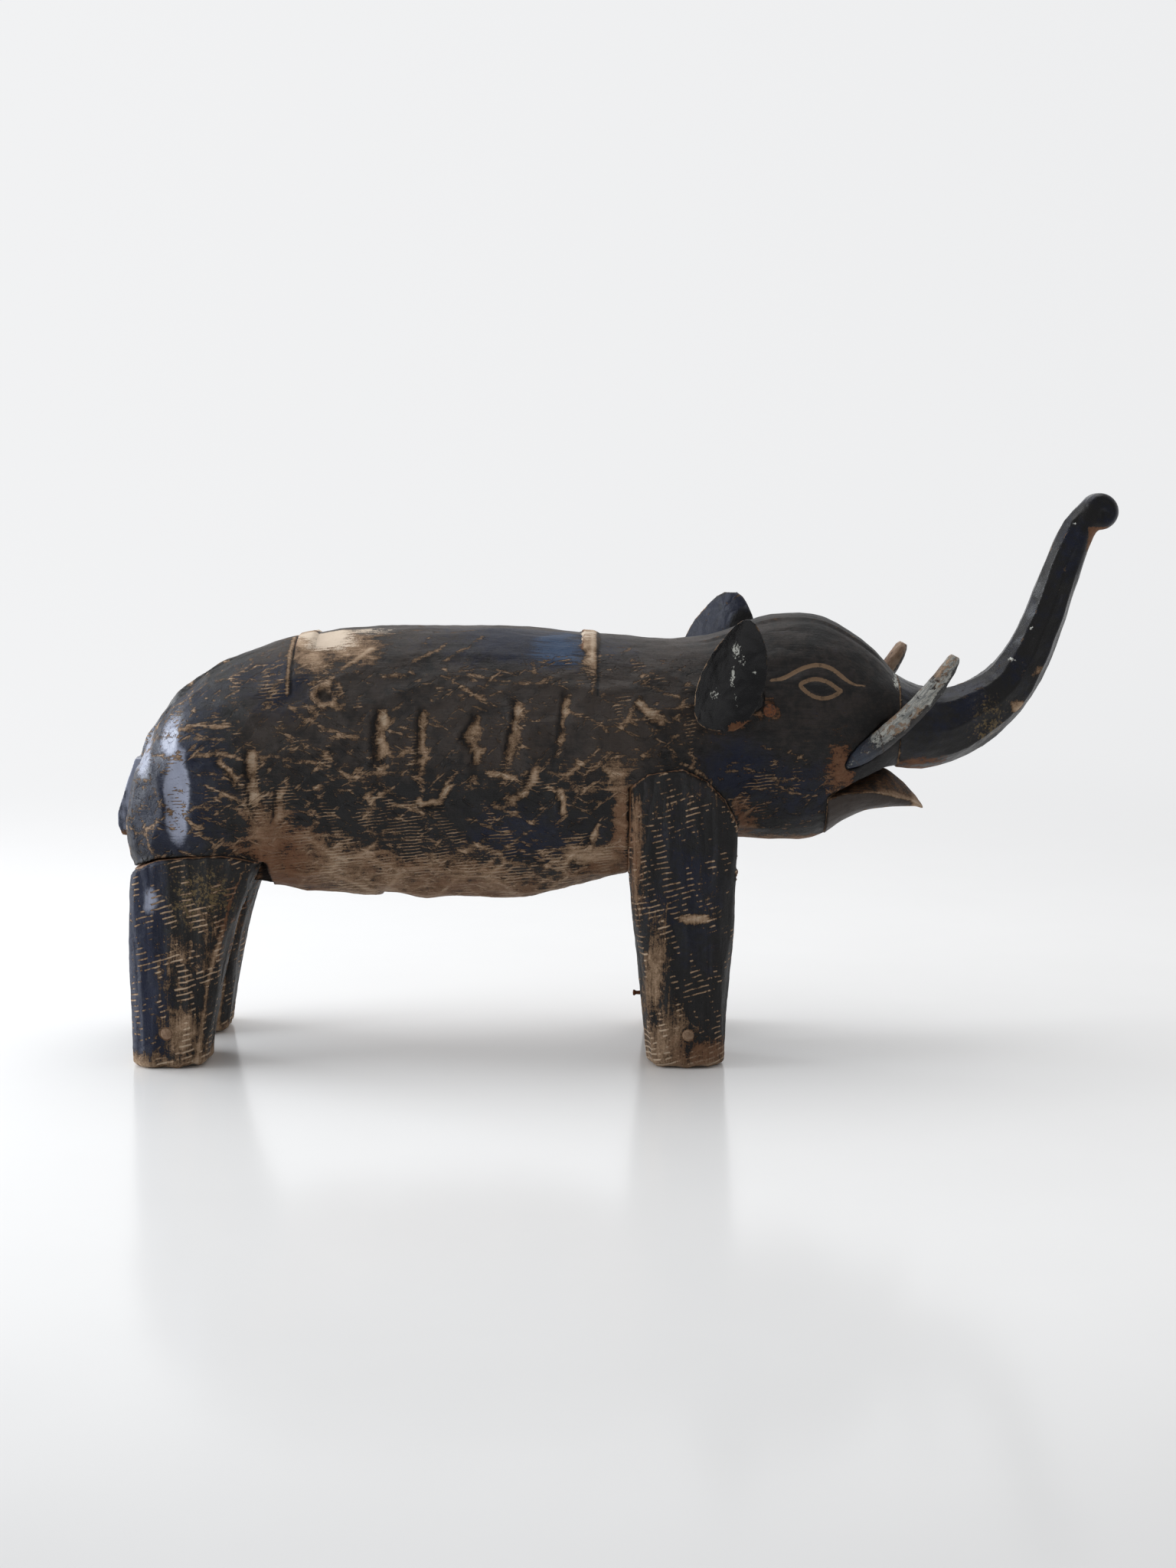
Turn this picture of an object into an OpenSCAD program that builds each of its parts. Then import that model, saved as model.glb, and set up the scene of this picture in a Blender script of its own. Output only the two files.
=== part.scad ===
// Carved wooden elephant, standing with its trunk raised.
// Frame: +X towards the trunk, +Y to the elephant's left, +Z up, feet on z = 0, origin under the middle.

/* [Body] */
// Half width of the torso at its widest
body_half_w = 77; // [75:0.5:79]
// Height of the flat seats that the hind legs bear on
hip_z = 146; // [143:0.5:149]
// Height of the flat seats that the front legs bear on
chest_z = 150; // [148:0.5:153]

/* [Legs] */
// Distance from the middle of the body to the inner face of each leg
leg_inner_y = 19; // [17:0.5:21]
// Distance from the middle of the body to the outer face of each leg
leg_outer_y = 77; // [75:0.5:78]
// Thickness left between the front legs' side housings and the middle of the body
shoulder_core = 34; // [30:0.5:38]
// Bevel round the sole of each foot
sole_bevel = 3; // [1:0.5:4]

/* [Ears] */
// Thickness of an ear at its root
ear_thick = 6.5; // [5:0.5:7.5]
// Depth of the hollow in an ear
ear_cup = 9; // [6:0.5:10]
// How much higher the left ear is set than the right one
ear_lift = 9; // [0:0.5:10]
// How much further back the left ear reaches than the right one
ear_reach = 4; // [0:0.5:6]

/* [Tusks] */
// Distance from the middle to the flat back of a tusk
tusk_back_y = 38; // [37:0.5:40]
// How far the left tusk is set behind the right one
tusk_setback = 22; // [0:1:24]

/* [Pegs and nails] */
// Diameter of the round plugs near the feet
plug_d = 8; // [6:0.5:10]
// Length of the round plugs near the feet
plug_len = 30; // [20:1:34]
// Diameter of the dowels inside the hind legs
hip_dowel_d = 16; // [12:0.5:18]
// Diameter of the dowels inside the front legs
shoulder_dowel_d = 14; // [10:0.5:16]
// Diameter of the dowel inside the trunk
trunk_dowel_d = 18; // [14:0.5:20]
// Diameter of the dowel inside the lower jaw
jaw_dowel_d = 10; // [8:0.5:11]
// Diameter of the pegs behind the tusks
tusk_peg_d = 4; // [3:0.5:5]
// Diameter of the round tenon on each ear
ear_tenon_d = 18; // [17:0.5:19]
// Diameter of the head of each ear nail
ear_nail_head_d = 9; // [7:0.5:10]
// Diameter of the shank of each nail
nail_d = 3; // [2:0.25:3.5]

/* [Hidden] */

$fn = 48;
RIGHT = -1;
LEFT = 1;

paint = "#2a292c";
patina = "#3a352f";
bare_wood = "#a58a68";
ivory_paint = "#b9b4a4";
rust = "#7d4524";

// Planes that the carved blocks meet on
trunk_joint_x = 197;
jaw_joint_x = 147;
hip_front_x = -240;
// Highest rise of the hip joint over hip_z
hip_rise = 2;
// Joint above a hind leg in the side view: X, and height over hip_z
hip_line = [
    [-350, -14], [-333, -10], [-323, -4], [-312, 0],
    [-290, hip_rise], [-268, hip_rise], [-256, 0], [hip_front_x, -5]
];
side_reach = 200;

// Torso and head along X: position, top, bottom, widest height, share of body_half_w, lower squareness
body_table = [
    [-339, 176, 146, 160, 0.50, 3.0],
    [-336, 196, 138, 164, 0.70, 3.6],
    [-330, 214, 132, 171, 0.83, 4.0],
    [-317, 238, 127, 179, 0.93, 4.0],
    [-299, 257, 123, 187, 0.98, 4.0],
    [-282, 270, 121, 192, 1.00, 4.0],
    [-262, 280, 120, 197, 1.00, 3.6],
    [-240, 288, 117, 200, 0.99, 3.0],
    [-215, 294, 112, 203, 0.98, 2.5],
    [-165, 300, 107, 204, 0.98, 2.3],
    [-100, 300, 106, 204, 0.98, 2.2],
    [ -60, 299, 107, 204, 0.99, 2.3],
    [ -20, 295, 118, 204, 1.00, 2.6],
    [  10, 293, 128, 205, 1.00, 3.0],
    [  40, 291, 139, 208, 0.95, 3.0],
    [  65, 293, 146, 214, 0.83, 2.6],
    [  90, 302, 150, 220, 0.74, 2.4],
    [ 110, 308, 148, 224, 0.72, 2.3],
    [ 130, 309, 148, 225, 0.70, 2.3],
    [ 147, 306, 153, 225, 0.67, 2.3],
    [ 165, 296, 163, 228, 0.61, 2.3],
    [ 182, 283, 182, 231, 0.55, 2.2],
    [ 197, 266, 200, 233, 0.50, 2.2]
];
body_upper_square = 2.3;

// Trunk along its middle line: step, X, Z, direction in degrees, half depth, half width
trunk_table = [
    [0, 197, 233,  0, 33.0, 38.5],
    [1, 215, 228,  2, 29.5, 33.0],
    [2, 233, 230, 10, 27.0, 29.0],
    [3, 251, 237, 21, 24.0, 25.0],
    [4, 267, 248, 33, 21.0, 22.0],
    [5, 280, 262, 47, 18.5, 19.0],
    [6, 291, 281, 58, 16.5, 17.0],
    [7, 300, 303, 67, 15.0, 15.5],
    [8, 308, 327, 71, 14.0, 14.5],
    [9, 316, 350, 68, 13.0, 13.5],
    [10, 323, 367, 60, 12.0, 12.5],
    [11, 333, 379, 30, 11.0, 10.5]
];
trunk_square = 2.2;
scroll_centre = [337, 0, 379];
scroll_r = 13;
scroll_half_w = 10.5;
scroll_round = 6;

// Lower jaw along X: position, top, bottom, lip height, half width
jaw_table = [
    [147.0, 184.0, 153.0, 183.0, 44.0],
    [160.0, 189.5, 162.0, 186.0, 40.0],
    [175.0, 196.0, 169.0, 186.0, 34.0],
    [187.0, 200.0, 171.0, 183.0, 27.0],
    [201.0, 192.0, 172.0, 178.0, 17.0],
    [212.0, 181.0, 171.5, 175.0,  8.0],
    [218.5, 172.5, 169.5, 171.0,  1.5]
];
jaw_upper_square = 1.5;
jaw_lower_square = 2.2;
// Line of the mouth in the side view, from the jaw joint to the trunk joint
mouth_line = [[147, 185], [187, 202.5], [197, 202.5]];

// Rear and front edges of the front leg where it meets the body
shoulder_rear_x = 9;
shoulder_front_x = 84;
// Front leg by height: height, rear X, front X, squareness
front_leg_table = [
    [  0, 22, 76, 3.4],
    [ 30, 19, 78, 3.4],
    [ 60, 16, 80, 3.6],
    [ 90, 13, 82, 4.0],
    [120, 10, 83, 5.0],
    [150, shoulder_rear_x, shoulder_front_x, 8.0],
    [210, shoulder_rear_x, shoulder_front_x, 8.0]
];
front_leg_top = 209;
// Hind leg by height, with the same columns
rear_leg_table = [
    [  0, -335, -281, 3.4],
    [ 30, -336, -277, 3.4],
    [ 60, -336, -271, 3.6],
    [ 90, -336, -264, 3.8],
    [115, -335, -255, 4.0],
    [133, -334, -246, 4.2],
    [155, -332, -238, 4.6]
];
// Side view of the front leg's upper end, which fits the housing in the body
shoulder_arch = [
    [shoulder_rear_x, 195], [22, 204], [46, 207], [62, 198], [75, 184], [shoulder_front_x, 166]
];

// Side view of the tail strip, on the rump's middle line below the crack
tail_outline = [
    [-328, 207], [-337, 207], [-344, 186], [-350, 168], [-350, 160], [-347, 153], [-340, 152], [-337, 158]
];
tail_half_w = 12;

// Ear by height: height, front X, rear X, outer face's distance from the middle at the front and the rear
ear_table = [
    [233, 80, 72, 67, 71],
    [236, 86, 61, 66, 78],
    [241, 91, 55, 65, 84],
    [250, 97, 52, 64, 89],
    [262, 101, 53, 63, 92],
    [275, 103, 57, 63, 92],
    [288, 102, 64, 64, 90],
    [299, 98, 73, 67, 85],
    [306, 94, 80, 71, 81],
    [309, 90, 85, 74, 77]
];
// Chord at which an ear's hollow has its full depth
ear_full_chord = 50;
// Share of an ear's thickness left at its edges, and how much of it the rear edge loses
ear_edge_share = 0.55;
ear_rear_loss = 0.25;
// Angle of the sine at an ear's edges, which keeps them blunt
ear_edge_angle = 20;
ear_tenon = [92, 254];
ear_tenon_inner_y = 36;
ear_tenon_outer_y = 59;
ear_nail_at = [105, 246];
ear_nail_face_y = 56;
ear_nail_head_h = 2;
ear_nail_point_y = 32;

// Tusk along its middle line: step, X, distance from the middle, Z, radius, direction in degrees
tusk_table = [
    [0, 159, 43, 205, 1.5, 40],
    [1, 166, 44, 211, 5.5, 40],
    [2, 179, 45, 221, 7.4, 39],
    [3, 196, 47, 236, 7.6, 42],
    [4, 212, 49, 253, 7.2, 49],
    [5, 223, 51, 268, 6.2, 57],
    [6, 230, 52, 280, 4.8, 62],
    [7, 231.5, 52.4, 283, 3.0, 63]
];
// Step at which a tusk comes clear of the cheek, and the room for glue round it below that
tusk_let_in = 4;
tusk_glue = 0.4;
tusk_peg_at = [182, 223];
tusk_peg_inner_y = 20;
tusk_peg_outer_y = 46;

front_plug_at = [50, 24];
rear_plug_at = [-308, 25];
hip_dowel_x = -288;
hip_dowel_half = 40;
shoulder_dowel_at = [47, 174];
shoulder_dowel_y = [12, 66];
trunk_dowel_x = [167, 227];
trunk_dowel_z = 232;
jaw_dowel_x = [127, 163];
jaw_dowel_z = 176;
tail_pin_x = [-338, -310];
tail_pin_z = 188;
tail_pin_d = 2.4;
leg_nail_at = [32, 29];
leg_nail_x = [14, 42];
leg_nail_head_d = 4.5;
leg_nail_head_h = 1.6;

// ---- Smooth curves through a table whose first column rises ----

function row_at(t, s, i = 0) = (i >= len(t) - 2 || s < t[i + 1][0]) ? i : row_at(t, s, i + 1);

function rise(t, i, c) = (t[i + 1][c] - t[i][c]) / (t[i + 1][0] - t[i][0]);

// Slope at a row: the harmonic mean of its two sides, so that the curve never overshoots a row
function slope(t, i, c) =
    i == 0 ? rise(t, 0, c) :
    i == len(t) - 1 ? rise(t, i - 1, c) :
    let (a = rise(t, i - 1, c), b = rise(t, i, c))
    a * b <= 0 ? 0 : 2 * a * b / (a + b);

function fair(t, s, c) =
    let (
        i = row_at(t, s),
        h = t[i + 1][0] - t[i][0],
        u = (s - t[i][0]) / h,
        blend = u * u * (3 - 2 * u)
    )
    t[i][c] * (1 - blend) + t[i + 1][c] * blend
    + h * (slope(t, i, c) * u * (1 - u) * (1 - u) - slope(t, i + 1, c) * u * u * (1 - u));

// Positions in a table's first column, with each row and steps - 1 places between two rows
function places(t, steps) = concat(
    [for (i = [0 : len(t) - 2], k = [0 : steps - 1]) t[i][0] + (t[i + 1][0] - t[i][0]) * k / steps],
    [t[len(t) - 1][0]]
);

// Rounded square section: cosine or sine raised to a squareness, with its sign
function bent(v, square) = sign(v) * pow(abs(v), 2 / square);

// ---- Closed skin over rings of equally many points ----

module skin(rings) {
    n = len(rings[0]);
    last = (len(rings) - 1) * n;
    spans = [0 : len(rings) - 2];
    cap = [0 : n / 2 - 2];
    polyhedron(
        points = [for (r = rings) each r],
        faces = concat(
            [for (k = cap) [k, k + 1, n - 1 - k]],
            [for (k = cap) [k + 1, n - 2 - k, n - 1 - k]],
            [for (i = spans, k = [0 : n - 1]) [i * n + k, (i + 1) * n + k, i * n + (k + 1) % n]],
            [for (i = spans, k = [0 : n - 1])
                [i * n + (k + 1) % n, (i + 1) * n + k, (i + 1) * n + (k + 1) % n]],
            [for (k = cap) [last + n - 1 - k, last + k + 1, last + k]],
            [for (k = cap) [last + n - 1 - k, last + n - 2 - k, last + k + 1]]
        )
    );
}

// Bar of a side-view outline, between two distances from the middle, on one side
module side_prism(outline, y0, y1, side) {
    low = side > 0 ? y0 : -y1;
    translate([0, low + (y1 - y0), 0])
        rotate([90, 0, 0])
            linear_extrude(y1 - y0)
                polygon(outline);
}

// Round pin across the body, between two distances from the middle, on one side
module cross_pin(at, d, y0, y1, side) {
    translate([at[0], side * y0, at[1]])
        rotate([side > 0 ? -90 : 90, 0, 0])
            cylinder(d = d, h = y1 - y0);
}

// Round pin along X between two positions
module long_pin(x0, x1, y, z, d) {
    translate([x0, y, z])
        rotate([0, 90, 0])
            cylinder(d = d, h = x1 - x0);
}

// ---- Torso, neck and head ----

function body_ring(x, sides = 40) =
    let (
        top = fair(body_table, x, 1),
        bottom = fair(body_table, x, 2),
        mid = fair(body_table, x, 3),
        w = fair(body_table, x, 4) * body_half_w,
        square = fair(body_table, x, 5)
    )
    [for (k = [0 : sides - 1])
        let (a = 360 * k / sides, low = sin(a) < 0, s = low ? square : body_upper_square)
        [x, w * bent(cos(a), s), mid + (low ? mid - bottom : top - mid) * bent(sin(a), s)]];

module body_form() {
    skin([for (x = places(body_table, 2)) body_ring(x)]);
}

// Space that one front leg takes out of the body: a side housing under a flat seat
module shoulder_housing(side) {
    below = 100;
    r = shoulder_rear_x;
    f = shoulder_front_x;
    side_prism(concat([[r, below]], shoulder_arch, [[f, below]]), shoulder_core, side_reach, side);
    side_prism([[r, below], [r, chest_z], [f, chest_z], [f, below]], leg_inner_y, shoulder_core + 1, side);
}

// Space under one hind quarter, down from the hip joint
module hip_housing(side) {
    seat = [for (p = hip_line) [p[0], hip_z + p[1]]];
    outline = concat([[seat[0][0], -1]], seat, [[hip_front_x, -1]]);
    side_prism(outline, leg_inner_y, side_reach, side);
}

module mouth_space() {
    below = 100;
    ahead = trunk_joint_x + 1;
    outline = concat([[jaw_joint_x, below]], mouth_line, [[ahead, mouth_line[2][1]], [ahead, below]]);
    side_prism(outline, -side_reach, side_reach, LEFT);
}

module body() {
    color(paint)
    difference() {
        body_form();
        for (side = [RIGHT, LEFT]) {
            shoulder_housing(side);
            hip_housing(side);
            tusk_housing(side);
            ear_tenon_pin(side);
            hip_dowel(side);
            cross_pin(shoulder_dowel_at, shoulder_dowel_d, shoulder_dowel_y[0], shoulder_dowel_y[1], side);
            ear_nail_shank(side);
            tusk_peg_pin(side);
        }
        mouth_space();
        tail_form();
        long_pin(trunk_dowel_x[0], trunk_joint_x + 1, 0, trunk_dowel_z, trunk_dowel_d);
        long_pin(jaw_dowel_x[0], jaw_joint_x + 1, 0, jaw_dowel_z, jaw_dowel_d);
        long_pin(tail_pin_x[0] - 1, tail_pin_x[1], 0, tail_pin_z, tail_pin_d);
    }
}

// ---- Trunk ----

function trunk_ring(s, sides = 28) =
    let (
        x = fair(trunk_table, s, 1),
        z = fair(trunk_table, s, 2),
        turn = fair(trunk_table, s, 3),
        depth = fair(trunk_table, s, 4),
        w = fair(trunk_table, s, 5)
    )
    [for (k = [0 : sides - 1])
        let (a = 360 * k / sides, up = depth * bent(sin(a), trunk_square))
        [x - up * sin(turn), w * bent(cos(a), trunk_square), z + up * cos(turn)]];

module trunk_scroll() {
    translate(scroll_centre)
        rotate([90, 0, 0])
            rotate_extrude()
                difference() {
                    hull() {
                        translate([scroll_r - scroll_round, scroll_half_w - scroll_round])
                            circle(scroll_round);
                        translate([scroll_r - scroll_round, scroll_round - scroll_half_w])
                            circle(scroll_round);
                        translate([-1, -scroll_half_w])
                            square([1, 2 * scroll_half_w]);
                    }
                    translate([-scroll_r, -side_reach])
                        square([scroll_r, 2 * side_reach]);
                }
}

module trunk() {
    color(paint)
    difference() {
        union() {
            skin([for (s = places(trunk_table, 2)) trunk_ring(s)]);
            trunk_scroll();
        }
        long_pin(trunk_joint_x - 1, trunk_dowel_x[1], 0, trunk_dowel_z, trunk_dowel_d);
    }
}

module trunk_dowel() {
    color(bare_wood)
        long_pin(trunk_dowel_x[0], trunk_dowel_x[1], 0, trunk_dowel_z, trunk_dowel_d);
}

// ---- Lower jaw ----

function jaw_ring(x, sides = 28) =
    let (
        top = fair(jaw_table, x, 1),
        bottom = fair(jaw_table, x, 2),
        lip = fair(jaw_table, x, 3),
        w = fair(jaw_table, x, 4)
    )
    [for (k = [0 : sides - 1])
        let (a = 360 * k / sides, low = sin(a) < 0, s = low ? jaw_lower_square : jaw_upper_square)
        [x, w * bent(cos(a), s), lip + (low ? lip - bottom : top - lip) * bent(sin(a), s)]];

module lower_jaw() {
    color(patina)
    difference() {
        skin([for (x = places(jaw_table, 3)) jaw_ring(x)]);
        long_pin(jaw_joint_x - 1, jaw_dowel_x[1], 0, jaw_dowel_z, jaw_dowel_d);
    }
}

module jaw_dowel() {
    color(bare_wood)
        long_pin(jaw_dowel_x[0], jaw_dowel_x[1], 0, jaw_dowel_z, jaw_dowel_d);
}

// ---- Legs ----

function leg_ring(t, z, side, sides = 32) =
    let (
        bevel = max(0, sole_bevel - z),
        rear = fair(t, z, 1) + bevel,
        front = fair(t, z, 2) - bevel,
        inner = leg_inner_y + bevel,
        outer = leg_outer_y - bevel,
        square = fair(t, z, 3)
    )
    [for (k = [0 : sides - 1])
        let (a = 360 * k / sides)
        [
            (rear + front) / 2 + side * (front - rear) / 2 * bent(cos(a), square),
            side * ((inner + outer) / 2 + (outer - inner) / 2 * bent(sin(a), square)),
            z
        ]];

// One leg from the floor to a flat top; the sole's bevel ends at its own ring
module leg_form(t, side, top) {
    above = [for (z = places(t, 2)) if (z > sole_bevel && z < top) z];
    skin([for (z = concat([0, sole_bevel], above, [top])) leg_ring(t, z, side)]);
}

module front_leg(side) {
    r = shoulder_rear_x;
    f = shoulder_front_x;
    flare = 10;
    shoulder_z = chest_z - 10;
    core_top = front_leg_top + flare;
    core = [[r - flare, chest_z], [r - flare, core_top], [f + flare, core_top], [f + flare, chest_z]];
    outline = concat([[r - flare, -1], [r - flare, shoulder_z], [r, shoulder_z]], shoulder_arch,
        [[f, shoulder_z], [f + flare, shoulder_z], [f + flare, -1]]);
    color(paint)
    difference() {
        intersection() {
            leg_form(front_leg_table, side, front_leg_top);
            side_prism(outline, 0, side_reach, side);
        }
        side_prism(core, 0, shoulder_core, side);
        cross_pin(shoulder_dowel_at, shoulder_dowel_d, shoulder_dowel_y[0], shoulder_dowel_y[1], side);
        cross_pin(front_plug_at, plug_d, leg_outer_y - plug_len, side_reach, side);
        if (side == LEFT)
            long_pin(leg_nail_x[0], leg_nail_x[1], leg_nail_at[0], leg_nail_at[1], nail_d);
    }
}

module rear_leg(side) {
    color(paint)
    difference() {
        intersection() {
            leg_form(rear_leg_table, side, hip_z + hip_rise);
            hip_housing(side);
        }
        hip_dowel(side);
        cross_pin(rear_plug_at, plug_d, leg_outer_y - plug_len, side_reach, side);
    }
}

module hip_dowel(side) {
    translate([hip_dowel_x, side * (leg_inner_y + leg_outer_y) / 2, hip_z - hip_dowel_half])
        cylinder(d = hip_dowel_d, h = 2 * hip_dowel_half);
}

module shoulder_dowel(side) {
    color(bare_wood)
        cross_pin(shoulder_dowel_at, shoulder_dowel_d, shoulder_dowel_y[0], shoulder_dowel_y[1], side);
}

module foot_plug(at, side) {
    color(bare_wood)
        cross_pin(at, plug_d, leg_outer_y - plug_len, leg_outer_y, side);
}

module front_right_leg() { front_leg(RIGHT); }
module front_left_leg() { front_leg(LEFT); }
module rear_right_leg() { rear_leg(RIGHT); }
module rear_left_leg() { rear_leg(LEFT); }

module front_right_foot_plug() { foot_plug(front_plug_at, RIGHT); }
module front_left_foot_plug() { foot_plug(front_plug_at, LEFT); }
module rear_right_foot_plug() { foot_plug(rear_plug_at, RIGHT); }
module rear_left_foot_plug() { foot_plug(rear_plug_at, LEFT); }

module front_right_leg_dowel() { shoulder_dowel(RIGHT); }
module front_left_leg_dowel() { shoulder_dowel(LEFT); }
module rear_right_leg_dowel() { color(bare_wood) hip_dowel(RIGHT); }
module rear_left_leg_dowel() { color(bare_wood) hip_dowel(LEFT); }

// Nail left standing out of the rear face of the left front leg
module leg_nail() {
    y = leg_nail_at[0];
    z = leg_nail_at[1];
    color(rust) {
        long_pin(leg_nail_x[0], leg_nail_x[1], y, z, nail_d);
        long_pin(leg_nail_x[0], leg_nail_x[0] + leg_nail_head_h, y, z, leg_nail_head_d);
    }
}

// ---- Tail ----

module tail_form() {
    side_prism(tail_outline, -tail_half_w, tail_half_w, LEFT);
}

module tail() {
    color(patina)
    difference() {
        tail_form();
        long_pin(tail_pin_x[0], tail_pin_x[1], 0, tail_pin_z, tail_pin_d);
    }
}

module tail_pin() {
    color(rust)
        long_pin(tail_pin_x[0], tail_pin_x[1], 0, tail_pin_z, tail_pin_d);
}

// ---- Ears ----

function ear_rise(side) = side == LEFT ? ear_lift : 0;

// Share of an ear's thickness between its front edge, v = 0, and its rear edge, v = 1
function ear_fullness(v) =
    ear_edge_share + (1 - ear_edge_share) * sin(ear_edge_angle + (180 - 2 * ear_edge_angle) * v);

// One level of the cupped leaf: across its hollow face from front to rear, and back over its inner face
function ear_ring(z, side, steps = 10) =
    let (
        front = fair(ear_table, z, 1),
        rear = fair(ear_table, z, 2) - (side == LEFT ? ear_reach : 0),
        near = fair(ear_table, z, 3),
        far = fair(ear_table, z, 4),
        cup = ear_cup * (front - rear) / ear_full_chord,
        hollow = [for (k = [0 : steps])
            let (v = k / steps)
            [front + (rear - front) * v, near + (far - near) * v - cup * sin(180 * v)]],
        inner = [for (k = [steps : -1 : 0])
            let (v = k / steps)
            hollow[k] - [0, ear_thick * ear_fullness(v) * (1 - ear_rear_loss * v)]]
    )
    [for (p = concat(hollow, inner)) [p[0], side * p[1], z + ear_rise(side)]];

module ear_tenon_pin(side) {
    translate([0, 0, ear_rise(side)])
        cross_pin(ear_tenon, ear_tenon_d, ear_tenon_inner_y, ear_tenon_outer_y, side);
}

module ear_nail_shank(side) {
    translate([0, 0, ear_rise(side)])
        cross_pin(ear_nail_at, nail_d, ear_nail_point_y, ear_nail_face_y, side);
}

module ear(side) {
    levels = places(ear_table, 2);
    rings = [for (z = levels) ear_ring(z, side)];
    color(paint)
    difference() {
        union() {
            skin(side == LEFT ? rings : [for (k = [len(rings) - 1 : -1 : 0]) rings[k]]);
            ear_tenon_pin(side);
        }
        ear_nail_shank(side);
    }
}

module ear_nail(side) {
    color(rust) {
        ear_nail_shank(side);
        translate([0, 0, ear_rise(side)])
            cross_pin(ear_nail_at, ear_nail_head_d, ear_nail_face_y, ear_nail_face_y + ear_nail_head_h, side);
    }
}

module right_ear() { ear(RIGHT); }
module left_ear() { ear(LEFT); }
module right_ear_nail() { ear_nail(RIGHT); }
module left_ear_nail() { ear_nail(LEFT); }

// ---- Tusks ----

function tusk_shift(side) = side == LEFT ? -tusk_setback : 0;

function tusk_ring(s, side, sides = 20) =
    let (
        x = fair(tusk_table, s, 1) + tusk_shift(side),
        y = fair(tusk_table, s, 2),
        z = fair(tusk_table, s, 3),
        r = fair(tusk_table, s, 4),
        turn = fair(tusk_table, s, 5)
    )
    [for (k = [0 : sides - 1])
        let (a = 360 * k / sides, up = r * sin(a))
        [x - up * sin(turn), side * (y + side * r * cos(a)), z + up * cos(turn)]];

// Side-view outline of the let-in part of a tusk
function tusk_outline(side) =
    let (s = [for (k = places(tusk_table, 2)) if (k <= tusk_let_in) k])
    concat(
        [for (k = s) tusk_edge(k, side, 1)],
        [for (k = [len(s) - 1 : -1 : 0]) tusk_edge(s[k], side, -1)]
    );

// Point on the upper (1) or lower (-1) edge of a tusk in the side view, with room for glue
function tusk_edge(s, side, edge) =
    let (
        r = edge * (fair(tusk_table, s, 4) + tusk_glue),
        turn = fair(tusk_table, s, 5)
    )
    [fair(tusk_table, s, 1) + tusk_shift(side) - r * sin(turn), fair(tusk_table, s, 3) + r * cos(turn)];

module tusk_housing(side) {
    side_prism(tusk_outline(side), tusk_back_y, side_reach, side);
}

module tusk_peg_pin(side) {
    translate([tusk_shift(side), 0, 0])
        cross_pin(tusk_peg_at, tusk_peg_d, tusk_peg_inner_y, tusk_peg_outer_y, side);
}

module tusk(side) {
    color(ivory_paint)
    difference() {
        skin([for (s = places(tusk_table, 2)) tusk_ring(s, side)]);
        translate([0, side > 0 ? 0 : -tusk_back_y, 0])
            cube([side_reach * 2, tusk_back_y, side_reach * 2]);
        tusk_peg_pin(side);
    }
}

module right_tusk() { tusk(RIGHT); }
module left_tusk() { tusk(LEFT); }
module right_tusk_peg() { color(bare_wood) tusk_peg_pin(RIGHT); }
module left_tusk_peg() { color(bare_wood) tusk_peg_pin(LEFT); }

// ---- Nodes ----

body();
trunk();
lower_jaw();
tail();
front_right_leg();
front_left_leg();
rear_right_leg();
rear_left_leg();
right_ear();
left_ear();
right_tusk();
left_tusk();
front_right_foot_plug();
front_left_foot_plug();
rear_right_foot_plug();
rear_left_foot_plug();
front_right_leg_dowel();
front_left_leg_dowel();
rear_right_leg_dowel();
rear_left_leg_dowel();
trunk_dowel();
jaw_dowel();
tail_pin();
leg_nail();
right_ear_nail();
left_ear_nail();
right_tusk_peg();
left_tusk_peg();
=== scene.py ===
"""Looks of the carved wooden elephant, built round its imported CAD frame.

Each wooden block is a voxel copy of its CAD node that is then carved: gouge facets, chopped scars,
fine grooves, worn ridges and open joints. Carving works in millimetres in the row frame: +X towards
the trunk, -Y the near (right) side, Z up.
"""

import math

import bpy
import numpy as np
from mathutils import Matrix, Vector
from mathutils.kdtree import KDTree
from mathutils.bvhtree import BVHTree


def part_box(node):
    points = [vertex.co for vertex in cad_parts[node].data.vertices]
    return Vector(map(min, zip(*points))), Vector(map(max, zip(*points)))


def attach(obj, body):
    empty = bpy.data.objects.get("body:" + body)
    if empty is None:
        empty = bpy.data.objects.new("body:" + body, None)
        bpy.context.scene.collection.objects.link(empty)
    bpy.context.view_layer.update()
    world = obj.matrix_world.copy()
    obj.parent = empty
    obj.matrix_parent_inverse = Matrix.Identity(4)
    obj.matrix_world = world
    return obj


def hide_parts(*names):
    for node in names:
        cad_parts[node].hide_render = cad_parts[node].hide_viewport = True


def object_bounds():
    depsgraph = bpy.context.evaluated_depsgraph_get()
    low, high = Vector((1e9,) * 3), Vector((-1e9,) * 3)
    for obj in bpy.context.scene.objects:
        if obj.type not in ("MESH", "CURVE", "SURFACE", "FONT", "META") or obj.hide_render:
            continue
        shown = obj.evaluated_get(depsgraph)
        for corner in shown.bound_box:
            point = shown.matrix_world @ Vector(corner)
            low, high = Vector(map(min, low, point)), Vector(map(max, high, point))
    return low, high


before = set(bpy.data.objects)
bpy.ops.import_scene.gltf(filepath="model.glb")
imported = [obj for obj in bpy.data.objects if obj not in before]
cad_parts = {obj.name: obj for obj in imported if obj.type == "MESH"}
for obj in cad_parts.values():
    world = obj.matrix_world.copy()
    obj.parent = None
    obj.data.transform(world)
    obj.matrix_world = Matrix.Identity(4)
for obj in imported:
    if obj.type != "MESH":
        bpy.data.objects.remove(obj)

CAD_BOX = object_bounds()
MM = 1000.0
RIGHT, LEFT = -1, 1
SIDES = {RIGHT: "right", LEFT: "left"}


# ---------------------------------------------------------------- smooth noise on points

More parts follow.
